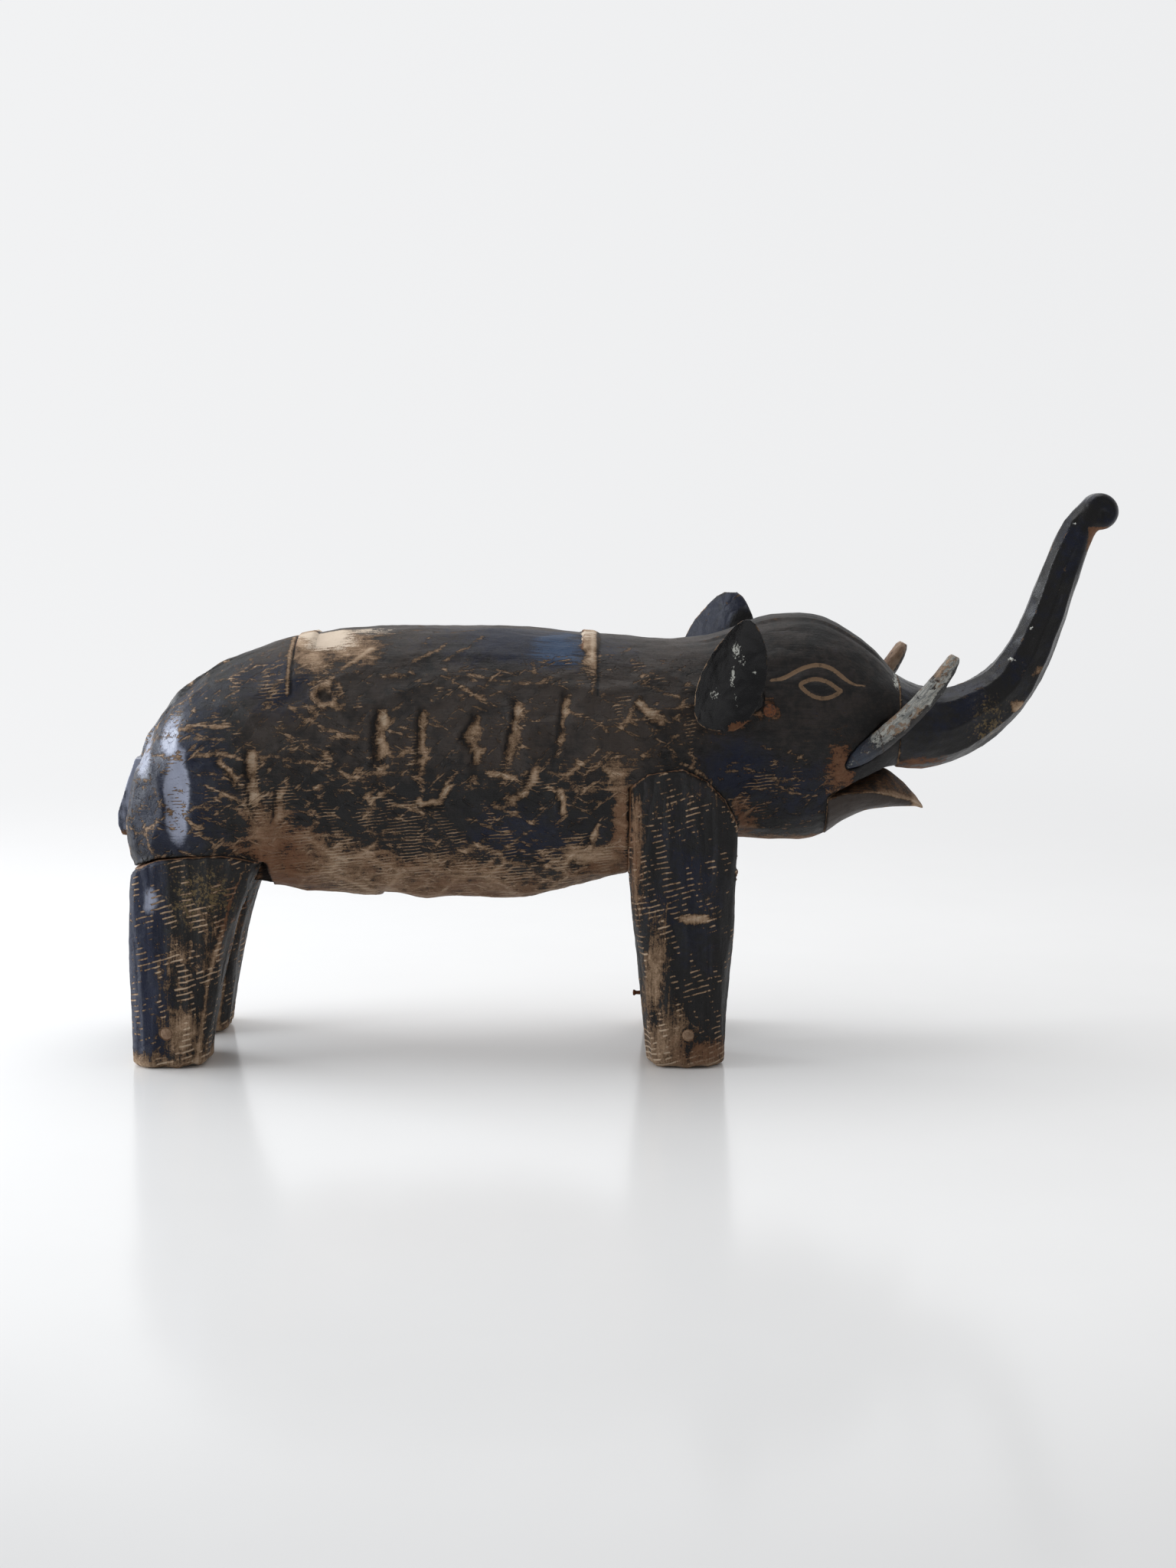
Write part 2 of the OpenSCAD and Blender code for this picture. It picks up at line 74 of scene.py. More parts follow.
def hashed(ix, iy, iz, seed):
    """A number from -1 to 1 for each lattice point."""
    h = (ix * 374761393 + iy * 668265263 + iz * 1440670441 + seed * 974634777) & 0xFFFFFFFF
    h = ((h ^ (h >> 13)) * 1274126177) & 0xFFFFFFFF
    h = h ^ (h >> 16)
    return (h & 0xFFFF) / 32767.5 - 1.0


def noise(p, size, seed):
    """Smooth noise from -1 to 1 whose bumps are about size wide; size is one number or three."""
    q = p / np.array(size, float)
    cell = np.floor(q).astype(np.int64)
    f = q - cell
    f = f * f * (3 - 2 * f)
    total = np.zeros(len(p))
    for corner in range(8):
        step = np.array([corner & 1, corner >> 1 & 1, corner >> 2 & 1])
        weight = np.where(step, f, 1 - f).prod(axis=1)
        at = cell + step
        total += weight * hashed(at[:, 0], at[:, 1], at[:, 2], seed)
    return total


def rough_noise(p, size, seed, octaves=3):
    """Noise with finer noise added to it."""
    size = np.array(size, float)
    total = sum(noise(p, size / 2**k, seed + k) / 2**k for k in range(octaves))
    return total / 1.5


def step_up(x, low, high):
    """Goes smoothly from 0 at low to 1 at high."""
    t = np.clip((x - low) / (high - low), 0, 1)
    return t * t * (3 - 2 * t)


def bump_at(x, centre, width):
    """1 at centre, and falls off to 0 over about two widths."""
    return np.exp(-(((x - centre) / width) ** 2))


# ---------------------------------------------------------------- gouge facets

class Facets:
    """Hollow facets round seeds that are scattered over points, spacing apart in X, Y and Z."""

    def __init__(self, points, spacing, seed):
        self.spacing = np.array(spacing, float)
        left = points[np.random.default_rng(seed).permutation(len(points))] / self.spacing
        seeds = []
        while len(left):
            seeds.append(left[0])
            left = left[((left - left[0]) ** 2).sum(axis=1) > 1]
        self.tree = KDTree(len(seeds))
        for i, seed_at in enumerate(seeds):
            self.tree.insert(seed_at, i)
        self.tree.balance()

    def at(self, p):
        """For each point: distance to the nearest seed, and how much nearer it is than the next."""
        found = [self.tree.find_n(q, 2) for q in (p / self.spacing).tolist()]
        first = np.array([f[0][2] for f in found])
        second = np.array([f[-1][2] for f in found])
        return first, second - first

    def carve(self, p, depth):
        """How far the facets sink the surface, and how close each point is to a ridge, 0 to 1."""
        first, gap = self.at(p)
        sink = depth * (np.clip(first / 0.75, 0, 1) ** 2 - 1)
        return sink, np.exp(-gap / 0.10)


# ---------------------------------------------------------------- carved pieces

def cad_points(node):
    """A CAD node's points, in millimetres."""
    co = np.empty(len(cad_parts[node].data.vertices) * 3)
    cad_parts[node].data.vertices.foreach_get("co", co)
    return co.reshape(-1, 3) * MM


def neighbour_trees():
    """Each CAD node's surface to search, and the corners of its box."""
    trees = {}
    for name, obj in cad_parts.items():
        low, high = cad_points(name).min(axis=0), cad_points(name).max(axis=0)
        trees[name] = (BVHTree.FromObject(obj, bpy.context.evaluated_depsgraph_get()), low, high)
    return trees


TREES = neighbour_trees()


class Piece:
    """A block of wood being carved: points p in millimetres, outward directions n, and named masks."""

    def __init__(self, node, voxel, smoothing=3):
        self.node = node
        self.obj = bpy.data.objects.new("carved_" + node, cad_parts[node].data.copy())
        bpy.context.scene.collection.objects.link(self.obj)
        self.remesh(voxel)
        self.read()
        touching = self.find_covered()
        self.seam = np.clip(2 * self.smooth_values(touching, 3), 0, 1)
        self.covered = np.clip(1.6 * self.smooth_values(touching, 1), 0, 1)
        self.snap_seam()
        self.p = self.relaxed(self.p, smoothing)
        self.write_points()
        self.read_directions()
        self.masks = {}

    def remesh(self, voxel):
        grid = self.obj.modifiers.new("blocks", "REMESH")
        grid.mode = "VOXEL"
        grid.voxel_size = voxel / MM
        grid.adaptivity = 0
        bpy.context.view_layer.update()
        view = bpy.context.evaluated_depsgraph_get()
        done = bpy.data.meshes.new_from_object(self.obj.evaluated_get(view))
        self.obj.modifiers.clear()
        self.obj.data = done
        done.name = self.obj.name
        done.materials.clear()
        done.polygons.foreach_set("use_smooth", [True] * len(done.polygons))

    def read(self):
        mesh = self.obj.data
        co = np.empty(len(mesh.vertices) * 3)
        mesh.vertices.foreach_get("co", co)
        self.p = co.reshape(-1, 3) * MM
        pairs = np.empty(len(mesh.edges) * 2, np.int64)
        mesh.edges.foreach_get("vertices", pairs)
        self.a, self.b = pairs[0::2], pairs[1::2]
        self.count = np.bincount(np.concatenate([self.a, self.b]), minlength=len(self.p)).astype(float)
        self.read_directions()

    def read_directions(self):
        out = np.empty(len(self.p) * 3)
        self.obj.data.vertices.foreach_get("normal", out)
        self.n = out.reshape(-1, 3)

    def write_points(self):
        self.obj.data.vertices.foreach_set("co", (self.p / MM).astype(np.float32).ravel())
        self.obj.data.update()

    def around(self, values):
        """Each point's mean of its neighbours' values."""
        ends, others = np.concatenate([self.a, self.b]), np.concatenate([self.b, self.a])
        if values.ndim == 1:
            return np.bincount(ends, values[others], len(self.p)) / self.count
        columns = [np.bincount(ends, column[others], len(self.p)) / self.count for column in values.T]
        return np.stack(columns, axis=1)

    def smooth_values(self, values, times):
        for _ in range(times):
            values = 0.5 * values + 0.5 * self.around(values)
        return values

    def relaxed(self, points, times):
        """Points smoothed without shrinking: a smoothing step, then a slightly larger one back."""
        free = (1 - self.seam)[:, None]
        for _ in range(times):
            for share in (0.5, -0.53):
                points = points + free * share * (self.around(points) - points)
        return points

    def find_covered(self):
        """1 where another block lies against the surface."""
        covered = np.zeros(len(self.p))
        probe = self.p + 2.0 * self.n
        for name, (tree, low, high) in TREES.items():
            if name == self.node:
                continue
            near = np.all((probe > low) & (probe < high), axis=1)
            for i in np.flatnonzero(near):
                at = Vector(probe[i] / MM)
                spot, facing, _, _ = tree.find_nearest(at)
                if (at - spot).dot(facing) < 0:
                    covered[i] = 1
        return covered

    def snap_seam(self):
        """Moves the points near a joint back onto the CAD surface, so that the joint stays tight."""
        tree = TREES[self.node][0]
        for i in np.flatnonzero(self.seam > 0.05):
            spot = tree.find_nearest(Vector(self.p[i] / MM))[0]
            self.p[i] = np.array(spot) * MM

    def slice_off(self, at, facing, depth, reach):
        """Cuts one flat facet, depth below the outermost point near at."""
        facing = np.array(facing) / np.linalg.norm(facing)
        away = np.linalg.norm(self.p - np.array(at, float), axis=1)
        fade = (1 - step_up(away, 0.8 * reach, reach)) * (1 - self.covered)
        height = self.p @ facing
        level = height[away < 0.6 * reach].max() - depth
        self.p = self.p - facing * (np.clip(height - level, 0, 3 * depth) * fade)[:, None]

    def close_joint(self, amount):
        """Lets the hidden faces run a little into the block beside them, so that no gap shows."""
        self.p = self.p + self.n * (amount * self.covered)[:, None]

    def push(self, amount):
        """Moves the open surface out by amount, in millimetres, and in where it is negative."""
        self.p = self.p + self.n * (amount * (1 - self.covered))[:, None]

    def hollows(self):
        """How hollow the surface is, in millimetres: above 0 in grooves and below 0 on ridges."""
        return ((self.around(self.p) - self.p) * self.n).sum(axis=1)

    def mask(self, name, values):
        """Adds to a mask; where it is already stronger, it stays."""
        old = self.masks.get(name, np.zeros(len(self.p)))
        self.masks[name] = np.maximum(old, values)

    def finish(self, material, slot, low, high):
        """Keeps the piece inside the CAD box, stores its masks and hands it to the frame."""
        self.p = np.clip(self.p, low, high)
        self.write_points()
        mesh = self.obj.data
        for k, names in enumerate(MASK_SETS):
            none = np.zeros(len(self.p))
            stack = np.stack([np.clip(self.masks.get(name, none), 0, 1) for name in names], axis=1)
            layer = mesh.attributes.new(f"masks_{k}", "FLOAT_VECTOR", "POINT")
            layer.data.foreach_set("vector", stack.astype(np.float32).ravel())
        mesh.materials.append(material)
        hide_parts(self.node)
        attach(self.obj, "root")


# The masks in the order in which they are stored on the meshes, three to an attribute
# The glossy-paint mask also places a painted highlight, and the soiling mask also paints shade
MASK_SETS = [("bare", "navy", "red"), ("gloss_and_painted_highlight", "dashes", "soiling_and_painted_shade"), ("flecks", "ridges", "cream"),
             ("ochre", "dust", "lacquer"), ("chips", "blue", "cut")]


# ---------------------------------------------------------------- features by place on a side

class Side:
    """Features of one side of the figure, placed by X and Z in millimetres."""

    def __init__(self, piece, side, drift=0.0):
        self.piece = piece
        self.side = side
        p = piece.p
        self.on = step_up(p[:, 1] * side, 4, 12) * (1 - piece.covered)
        self.x = p[:, 0] + drift * noise(p, 60, 91)
        self.z = p[:, 2] + drift * noise(p, 60, 92)
        wobble = np.stack([noise(p, 5, 11), noise(p, 5, 12)], axis=1)
        self.xz = np.stack([self.x, self.z], axis=1)
        self.ragged = self.xz + 0.9 * wobble

    def line(self, points, ragged=True):
        """Distance to a line through points, the signed distance to its left, and the share along it."""
        at = self.ragged if ragged else self.xz
        points = np.array(points, float)
        lengths = np.linalg.norm(np.diff(points, axis=0), axis=1)
        starts = np.concatenate([[0], np.cumsum(lengths)])
        best = np.full(len(at), 1e9)
        across, along = np.zeros(len(at)), np.zeros(len(at))
        for i, length in enumerate(lengths):
            direction = (points[i + 1] - points[i]) / length
            to = at - points[i]
            t = np.clip(to @ direction, 0, length)
            off = to - t[:, None] * direction
            d = np.linalg.norm(off, axis=1)
            nearer = d < best
            cross = direction[0] * to[:, 1] - direction[1] * to[:, 0]
            best = np.where(nearer, d, best)
            across = np.where(nearer, cross, across)
            along = np.where(nearer, (starts[i] + t) / starts[-1], along)
        return best, across, along

    def chop(self, points, width, depth):
        """A chopped scar: a steep wall with painted shade on its left and a broad one of bare wood on its
        right.
        """
        d, across, along = self.line(points)
        wide = width * (0.85 + 0.45 * noise(self.piece.p, 8, 13))
        ends = step_up(along, 0, 0.15) * (1 - 0.7 * step_up(along, 0.8, 1))
        right = across / wide
        wall = np.where(right > 0, bump_at(right, 0, 0.9), bump_at(right, 0, 0.3))
        near = 1 - step_up(d, 1.1 * width, 2.2 * width)
        self.piece.push(-depth * wall * near * ends * self.on)
        self.piece.push(0.3 * depth * bump_at(right, -0.7, 0.35) * near * ends * self.on)
        patchy = 0.78 + 0.4 * noise(self.piece.p, 6, 14)
        tan = np.clip(1 - np.abs(right - 0.42) / 0.85, 0, 1) * near
        self.piece.mask("bare", 1.05 * self.on * ends * patchy * tan)
        # Painted shade on the steep wall, which faces away from the light
        self.piece.mask("soiling_and_painted_shade", 0.9 * self.on * ends * bump_at(right, -0.30, 0.26) * near)

    def ridge(self, points, width, height, wear=0.8):
        """A raised worn line."""
        d, _, along = self.line(points)
        ends = step_up(along, 0, 0.1) * (1 - step_up(along, 0.9, 1) * 0.7)
        line = bump_at(d, 0, width) * self.on * ends
        self.piece.push(height * line)
        self.piece.mask("ridges", wear * line)

    def patch(self, name, x, z, rx, rz, strength=1.0, ragged=8.0, lean=0.0):
        """A mask that is full in the middle of an oval and fades out beyond its edge; lean tips it."""
        p = self.piece.p
        dx, dz = self.x - x, self.z - z
        u = (dx + lean * dz) / rx
        v = (dz - lean * dx) / rz
        r = np.sqrt(u * u + v * v) + ragged / max(rx, rz) * rough_noise(p, 14, 31)
        self.piece.mask(name, strength * self.on * np.clip(1.25 - 0.75 * r, 0, 1))


# ---------------------------------------------------------------- the torso and head

# Chopped scars on the flank: line through (X, Z), width and depth
SCARS = [
    ([(-160, 252), (-161, 234), (-162, 207)], 6.0, 2.2),
    ([(-131, 252), (-133, 230), (-133, 207)], 4.5, 1.9),
    ([(-92, 248), (-102, 230), (-95, 219), (-97, 207)], 5.0, 2.0),
    ([(-71, 257), (-68, 247), (-71, 229), (-75, 212)], 4.8, 2.4),
    ([(-35, 263), (-36, 247), (-38, 234), (-40, 222)], 3.5, 1.2),
    ([(-136, 190), (-133, 182), (-118, 183), (-110, 200)], 4.0, 1.4),
    ([(-55, 211), (-59, 200), (-62, 193), (-75, 187)], 4.0, 1.4),
    ([(-39, 196), (-37, 186), (-37, 176)], 3.2, 1.2),
    ([(-247, 225), (-249, 209), (-247, 180)], 5.5, 2.0),
    ([(-228, 196), (-233, 166)], 4.6, 1.6),
    ([(11, 253), (20, 246), (34, 234)], 5.0, 1.4),
    ([(-272, 214), (-262, 207), (-256, 196)], 3.4, 1.0),
    ([(-12, 172), (-18, 156)], 3.0, 1.0)
]

# Worn ridges between the big facets: line through (X, Z) and how worn
RIDGES = [
    ([(-187, 274), (-176, 281), (-164, 288)], 0.9),
    ([(-141, 277), (-128, 283), (-114, 290)], 0.9),
    ([(-121, 277), (-103, 287), (-89, 295)], 0.7),
    ([(-112, 268), (-100, 261), (-89, 253)], 0.9),
    ([(-176, 268), (-140, 271), (-100, 270), (-66, 265), (-18, 263)], 0.5),
    ([(-225, 253), (-211, 242), (-185, 231), (-163, 228)], 0.8),
    ([(-246, 217), (-205, 213), (-163, 205), (-120, 209)], 0.6),
    ([(-163, 246), (-150, 232), (-135, 229)], 0.5),
    ([(-89, 207), (-67, 201)], 1.0),
    ([(-36, 247), (-15, 242), (-3, 230)], 0.8),
    ([(-3, 230), (8, 239), (12, 253)], 0.5),
    ([(-300, 232), (-283, 237), (-262, 236)], 0.8),
    ([(-292, 215), (-270, 219), (-246, 214)], 0.8),
    ([(-318, 215), (-292, 216)], 0.6),
    ([(-285, 199), (-262, 190), (-250, 172)], 0.6),
    ([(-35, 158), (-20, 162)], 0.9),
    ([(72, 206), (90, 203), (112, 198)], 0.7),
    ([(96, 222), (116, 218), (134, 210)], 0.6),
    ([(88, 196), (108, 190), (130, 186)], 0.5),
    ([(40, 214), (56, 206), (70, 190), (78, 172)], 0.9),
    ([(-48, 196), (-37, 194)], 0.8)
]

# Oval patches on a side: mask, X, Z, half length, half height, strength
BODY_PATCHES = [
    ("cream", -198, 294, 20, 9, 0.8),
    ("cream", -176, 299, 26, 5, 0.6),
    ("cream", -26, 297, 14, 4, 0.8),
    ("bare", -190, 289, 32, 10, 0.75),
    ("bare", -205, 282, 12, 9, 0.8),
    ("bare", -16, 288, 5, 16, 0.75),
    ("bare", 1, 206, 9, 10, 0.6),
    ("bare", 4, 168, 6, 34, 0.62),
    ("bare", -14, 146, 22, 7, 0.8),
    ("bare", -238, 158, 14, 28, 0.6),
    ("bare", -198, 258, 8, 10, 0.6),
    ("bare", 87, 166, 9, 12, 0.5),
    ("bare", 78, 236, 12, 4, 0.55),
    ("bare", 156, 206, 9, 20, 0.5),
    ("red", -232, 140, 34, 40, 0.9),
    ("red", 6, 165, 12, 42, 0.7),
    ("red", 86, 168, 16, 16, 0.8),
    ("red", 156, 206, 18, 24, 0.9),
    ("red", 78, 236, 14, 8, 0.9),
    ("red", 104, 247, 10, 9, 0.9),
    ("bare", 103, 247, 6, 6, 0.75),
    ("navy", -306, 200, 34, 60, 0.7),
    ("navy", -60, 290, 60, 14, 0.5),
    ("blue", -38, 286, 24, 11, 0.72),
    ("cream", -30, 291, 20, 5, 0.45),
    ("navy", -60, 160, 40, 20, 0.4),
    ("navy", 86, 206, 26, 20, 0.55),
    ("navy", 120, 190, 24, 22, 0.4),
    ("navy", -230, 262, 30, 16, 0.4),
    # These glossy and navy ovals put a pale blue painted highlight on the rump's facets
    ("gloss_and_painted_highlight", -297, 188, 8, 36, 1.25),
    ("navy", -298, 190, 16, 44, 1.0),
    ("gloss_and_painted_highlight", -303, 228, 8, 16, 1.0),
    ("gloss_and_painted_highlight", -325, 214, 7, 22, 1.0),
    ("gloss_and_painted_highlight", -300, 215, 26, 22, 0.55),
    ("flecks", 108, 201, 8, 4, 0.5),
    ("flecks", 98, 187, 10, 6, 0.35),
    ("flecks", 196, 262, 3, 6, 0.8),
    ("dashes", -250, 190, 60, 26, 0.7),
    ("dashes", -150, 168, 90, 22, 1.0),
    ("dashes", -60, 205, 60, 16, 0.7),
    ("dashes", -238, 264, 18, 16, 0.8),
    ("dashes", 108, 186, 36, 26, 0.75),
    ("dashes", -30, 272, 22, 10, 0.8)
]

# Flat facets that catch the light on the rump: middle, direction, depth and reach
RUMP_FACETS = [
    ((-300, 70, 188), (-0.60, 0.795, 0.07), 3.0, 46),
    ((-300, 62, 232), (-0.62, 0.62, 0.45), 2.2, 30),
    ((-322, 34, 222), (-0.80, 0.30, 0.50), 1.8, 32),
    ((-276, 70, 236), (-0.25, 0.86, 0.42), 1.8, 26),
    ((-280, 76, 180), (-0.30, 0.95, 0.05), 1.6, 28)
]

# Places on the body, in millimetres
SADDLE_REAR_X = -222.0
SADDLE_FRONT_X = -12.0
SADDLE_EDGE_Z = 257.0
BELLY_STEP_X = -165.5
KNOT_AT = (-197.0, 257.0)
# The eye's outline and the brow's line: X and Z
EYE = [
    (126.5, 262.5), (131, 265.6), (138, 266.6), (146, 264.2), (152.5, 259.6), (154.3, 258.0),
    (148, 254.6), (141, 253.6), (133.5, 256.2), (126.5, 262.5)
]
BROW = [
    (106, 266), (115, 267.5), (127, 273.5), (138, 276), (148, 273.5), (158, 266), (164, 262.5),
    (173, 261)
]


def saddle(body):
    """The saddle field across the back: a step at each end and a raised bar on the middle line."""
    p = body.p
    high = step_up(p[:, 2], SADDLE_EDGE_Z - 1, SADDLE_EDGE_Z + 1)
    rear_x = SADDLE_REAR_X + 0.6 * noise(p, 9, 21)
    behind = step_up(rear_x - p[:, 0], -0.4, 0.4) * step_up(p[:, 0], SADDLE_REAR_X - 26, SADDLE_REAR_X)
    body.push(1.1 * behind * high)
    body.push(-0.9 * bump_at(p[:, 0], rear_x + 1.0, 1.3) * high)
    # Painted shade in the groove at the rear step
    body.mask("soiling_and_painted_shade", bump_at(p[:, 0], rear_x + 1.2, 1.1) * high)
    body.mask("ridges", bump_at(p[:, 0], rear_x - 0.9, 0.8) * high)
    front_x = SADDLE_FRONT_X + 0.8 * noise(p, 11, 22)
    body.push(-1.4 * bump_at(p[:, 0], front_x, 1.5) * high)
    # Painted shade in the groove at the front step
    body.mask("soiling_and_painted_shade", bump_at(p[:, 0], front_x, 1.5) * high)
    body.mask("ridges", 0.8 * bump_at(p[:, 0], front_x - 3.2, 1.0) * high)
    top = step_up(p[:, 2], 284, 287)
    for low_x, high_x in ((-220, -208), (-23, -11)):
        edge = 0.5 * noise(p, 4, 23)
        before = step_up(p[:, 0] + edge, low_x - 0.7, low_x + 0.7)
        bar = before * (1 - step_up(p[:, 0] + edge, high_x - 0.7, high_x + 0.7))
        body.push(2.3 * bar * top)
        body.mask("bare", 0.85 * bar * top)
        body.mask("red", bump_at(p[:, 0], low_x, 2.0) * top)
        # Painted shade just in front of each bar, where it drops
        body.mask("soiling_and_painted_shade", 0.7 * bump_at(p[:, 0], high_x + 1, 1.2) * top)


def knot(body, side):
    """A healed branch knot: rings round a ragged hollow."""
    part = Side(body, side)
    u = (part.ragged[:, 0] - KNOT_AT[0]) / 13.0
    v = (part.ragged[:, 1] - KNOT_AT[1]) / 10.5
    r = np.sqrt(u * u + v * v) + 0.22 * noise(body.p, 7, 41) + 0.10 * noise(body.p, 3, 43)
    inside = part.on * (1 - step_up(r, 0.7, 1.5))
    rings = np.cos(r * 11.0 + 2.2 * noise(body.p, 9, 42))
    body.push(inside * (1.6 * (1 - r).clip(0, 1) + 0.6 * rings - 3.0 * bump_at(r, 0.15, 0.25)))
    body.mask("bare", inside * (0.42 + 0.22 * rings + 0.25 * noise(body.p, 5, 44)))
    # Dark rings of the knot, and painted shade in its hollow
    body.mask("soiling_and_painted_shade", inside * (0.45 * (1 - rings) / 2 + bump_at(r, 0.15, 0.22)))


def smooth_path(points, steps=5):
    """The same path with a smooth curve through its points."""
    points = np.array(points, float)
    closed = np.allclose(points[0], points[-1])
    before = points[-2] if closed else 2 * points[0] - points[1]
    after = points[1] if closed else 2 * points[-1] - points[-2]
    q = np.vstack([before, points, after])
    path = []
    for i in range(1, len(q) - 2):
        for u in np.arange(steps) / steps:
            path.append(0.5 * (2 * q[i] + (q[i + 1] - q[i - 1]) * u
                               + (2 * q[i - 1] - 5 * q[i] + 4 * q[i + 1] - q[i + 2]) * u**2
                               + (3 * q[i] - q[i - 1] - 3 * q[i + 1] + q[i + 2]) * u**3))
    return [*path, q[-2]]


def face(body, side):
    """The eye and the brow: cut lines that show bare wood."""
    part = Side(body, side)
    outline = smooth_path(EYE)
    d, _, _ = part.line(outline, ragged=False)
    inside = np.zeros(len(body.p), bool)
    x, z = part.x, part.z
    for (x0, z0), (x1, z1) in zip(outline[:-1], outline[1:]):
        crosses = (z0 > z) != (z1 > z)
        cut = x0 + (z - z0) / ((z1 - z0) or 1e-9) * (x1 - x0)
        inside ^= crosses & (x < cut)
    body.push(-0.9 * bump_at(d, 0, 1.5) * part.on)
    body.push(0.9 * inside * step_up(d, 1.2, 3.6) * part.on)
    body.push(0.45 * bump_at(d, 3.2, 1.4) * ~inside * part.on)
    body.mask("cut", part.on * (1 - d / 6))
    # Darkens the eye inside its outline, and a thin ring just outside it
    body.mask("soiling_and_painted_shade", 0.8 * inside * step_up(d, 1.6, 2.6) * part.on)
    body.mask("soiling_and_painted_shade", 0.6 * bump_at(d, 2.6, 0.8) * ~inside * part.on)
    d, _, along = part.line(smooth_path(BROW), ragged=False)
    thin = 0.9 * step_up(along, 0.7, 1.0) + 0.5 * (1 - step_up(along, 0, 0.12))
    body.push(-0.8 * bump_at(d, 0, 1.4) * part.on * (1 - 0.6 * thin))
    body.mask("cut", part.on * (1 - (d + thin) / 6))


def crown(body):
    """The worn edges of the flat band along the top of the head."""
    p = body.p
    half = 17.0 - 3.0 * step_up(p[:, 0], 150, 195) + 0.7 * noise(p, 16, 51)
    head = step_up(p[:, 0], 52, 70) * (1 - step_up(p[:, 0], 178, 192)) * step_up(p[:, 2], 250, 262)
    edge = np.abs(p[:, 1]) - half
    body.push(-1.1 * bump_at(edge, 1.8, 1.8) * head)
    body.push(0.5 * bump_at(edge, -1.2, 1.5) * head)
    body.mask("ridges", 0.62 * bump_at(edge, -0.6, 0.9) * head)


def rump_strip(body):
    """The tail's upper part, left proud along the middle of the rump."""
    p = body.p
    half = 11.0 - 6.0 * step_up(p[:, 2], 225, 280)
    rear = step_up(-p[:, 0], 245, 285) * step_up(p[:, 2], 196, 207)
    inside = 1 - step_up(np.abs(p[:, 1]) - half + 0.6 * noise(p, 10, 61), -0.9, 0.9)
    body.push(2.6 * inside * rear)
    # Painted shade in the gap beside the strip, and a painted highlight on the strip itself
    body.mask("soiling_and_painted_shade", 0.8 * bump_at(np.abs(p[:, 1]), half + 1.0, 1.2) * rear)
    body.mask("gloss_and_painted_highlight", inside * rear)


def belly(body):
    """The belly: left bare below, with a broken step across it."""
    p = body.p
    edge = BELLY_STEP_X + 2.0 * noise(p, 12, 71)
    behind = step_up(edge - p[:, 0], -1.2, 1.2) * (1 - step_up(-p[:, 0], 205, 238))
    low = 1 - step_up(p[:, 2], 112, 128)
    body.push(-2.6 * (1 - behind) * low * step_up(-p[:, 0], 135, 165))
    under = 152 + 6 * rough_noise(p, 30, 72)
    under -= 20 * bump_at(p[:, 0], -50, 30)
    under -= 6 * bump_at(p[:, 0], -120, 40)
    under += 8 * bump_at(p[:, 0], -215, 40)
    torso = step_up(p[:, 0], -252, -236) * (1 - step_up(p[:, 0], 10, 30))
    body.mask("bare", 0.50 * torso * np.clip(0.5 + (under - p[:, 2]) / 26, 0, 1))
    body.mask("red", torso * (0.45 + 0.3 * rough_noise(p, 30, 73)) * step_up(under - p[:, 2], -10, 10))
    body.mask("dashes", torso * (1 - step_up(p[:, 2], 150, 185)))
    chin = step_up(p[:, 0], 60, 80) * (1 - step_up(p[:, 2], 150, 160))
    body.mask("bare", 0.62 * chin)
    body.mask("red", 0.7 * chin)


def carve_body():
    body = Piece("body", 1.85, smoothing=4)
    p = body.p
    flank = 1 - 0.6 * step_up(p[:, 0], 80, 110)
    calm = 1 - 0.6 * step_up(p[:, 2], 268, 285)
    depth = 2.1 * flank * calm
    sink, near_ridge = Facets(p[body.covered < 0.1], (34, 26, 22), 5).carve(p, depth)
    body.push(sink)
    small = Facets(p[body.covered < 0.1], (15, 12, 10), 6)
    fine, fine_ridge = small.carve(p, 0.7 * flank * calm)
    body.push(fine)
    low_flank = 1 - step_up(p[:, 2], 200, 245)
    worn = rough_noise(p, 34, 81) * 0.5 + 0.42
    body.mask("ridges", near_ridge * np.clip(worn + 0.15 * low_flank, 0, 1) * flank)
    body.mask("ridges", 0.8 * fine_ridge * np.clip(worn - 0.1 + 0.15 * low_flank, 0, 1) * flank)
    upper = step_up(p[:, 2], 185, 225) * step_up(p[:, 0], -262, -240)
    dusty = upper * (0.75 + 0.4 * rough_noise(p, 40, 82))
    body.mask("dust", dusty * (1 - 0.6 * step_up(p[:, 0], 30, 80)))
    # Painted shade in the corner where the front of a hind leg meets the belly
    inner_corner = step_up(p[:, 0], -252, -246) * (1 - step_up(p[:, 0], -240, -234))
    body.mask("soiling_and_painted_shade", inner_corner * (1 - step_up(p[:, 2], 138, 144)))
    torso = step_up(-p[:, 0], -72, -48)
    body.mask("dashes", 0.42 * (1 - 0.7 * step_up(p[:, 2], 272, 284)) * torso)
    for side in SIDES:
        for (x, y, z), (nx, ny, nz), cut, reach in RUMP_FACETS:
            body.slice_off((x, side * y, z), (nx, side * ny, nz), cut, reach)
        part = Side(body, side, drift=0.0 if side == RIGHT else 9.0)
        for points, width, cut in SCARS:
            part.chop(points, 1.45 * width, 1.3 * cut)
        for points, worn in RIDGES:
            part.ridge(points, 1.5, 0.5, worn)
        for mask, x, z, rx, rz, strength in BODY_PATCHES:
            part.patch(mask, x, z, rx, rz, strength)
        knot(body, side)
        face(body, side)
    saddle(body)
    crown(body)
    rump_strip(body)
    belly(body)
    return body


# ---------------------------------------------------------------- the other blocks

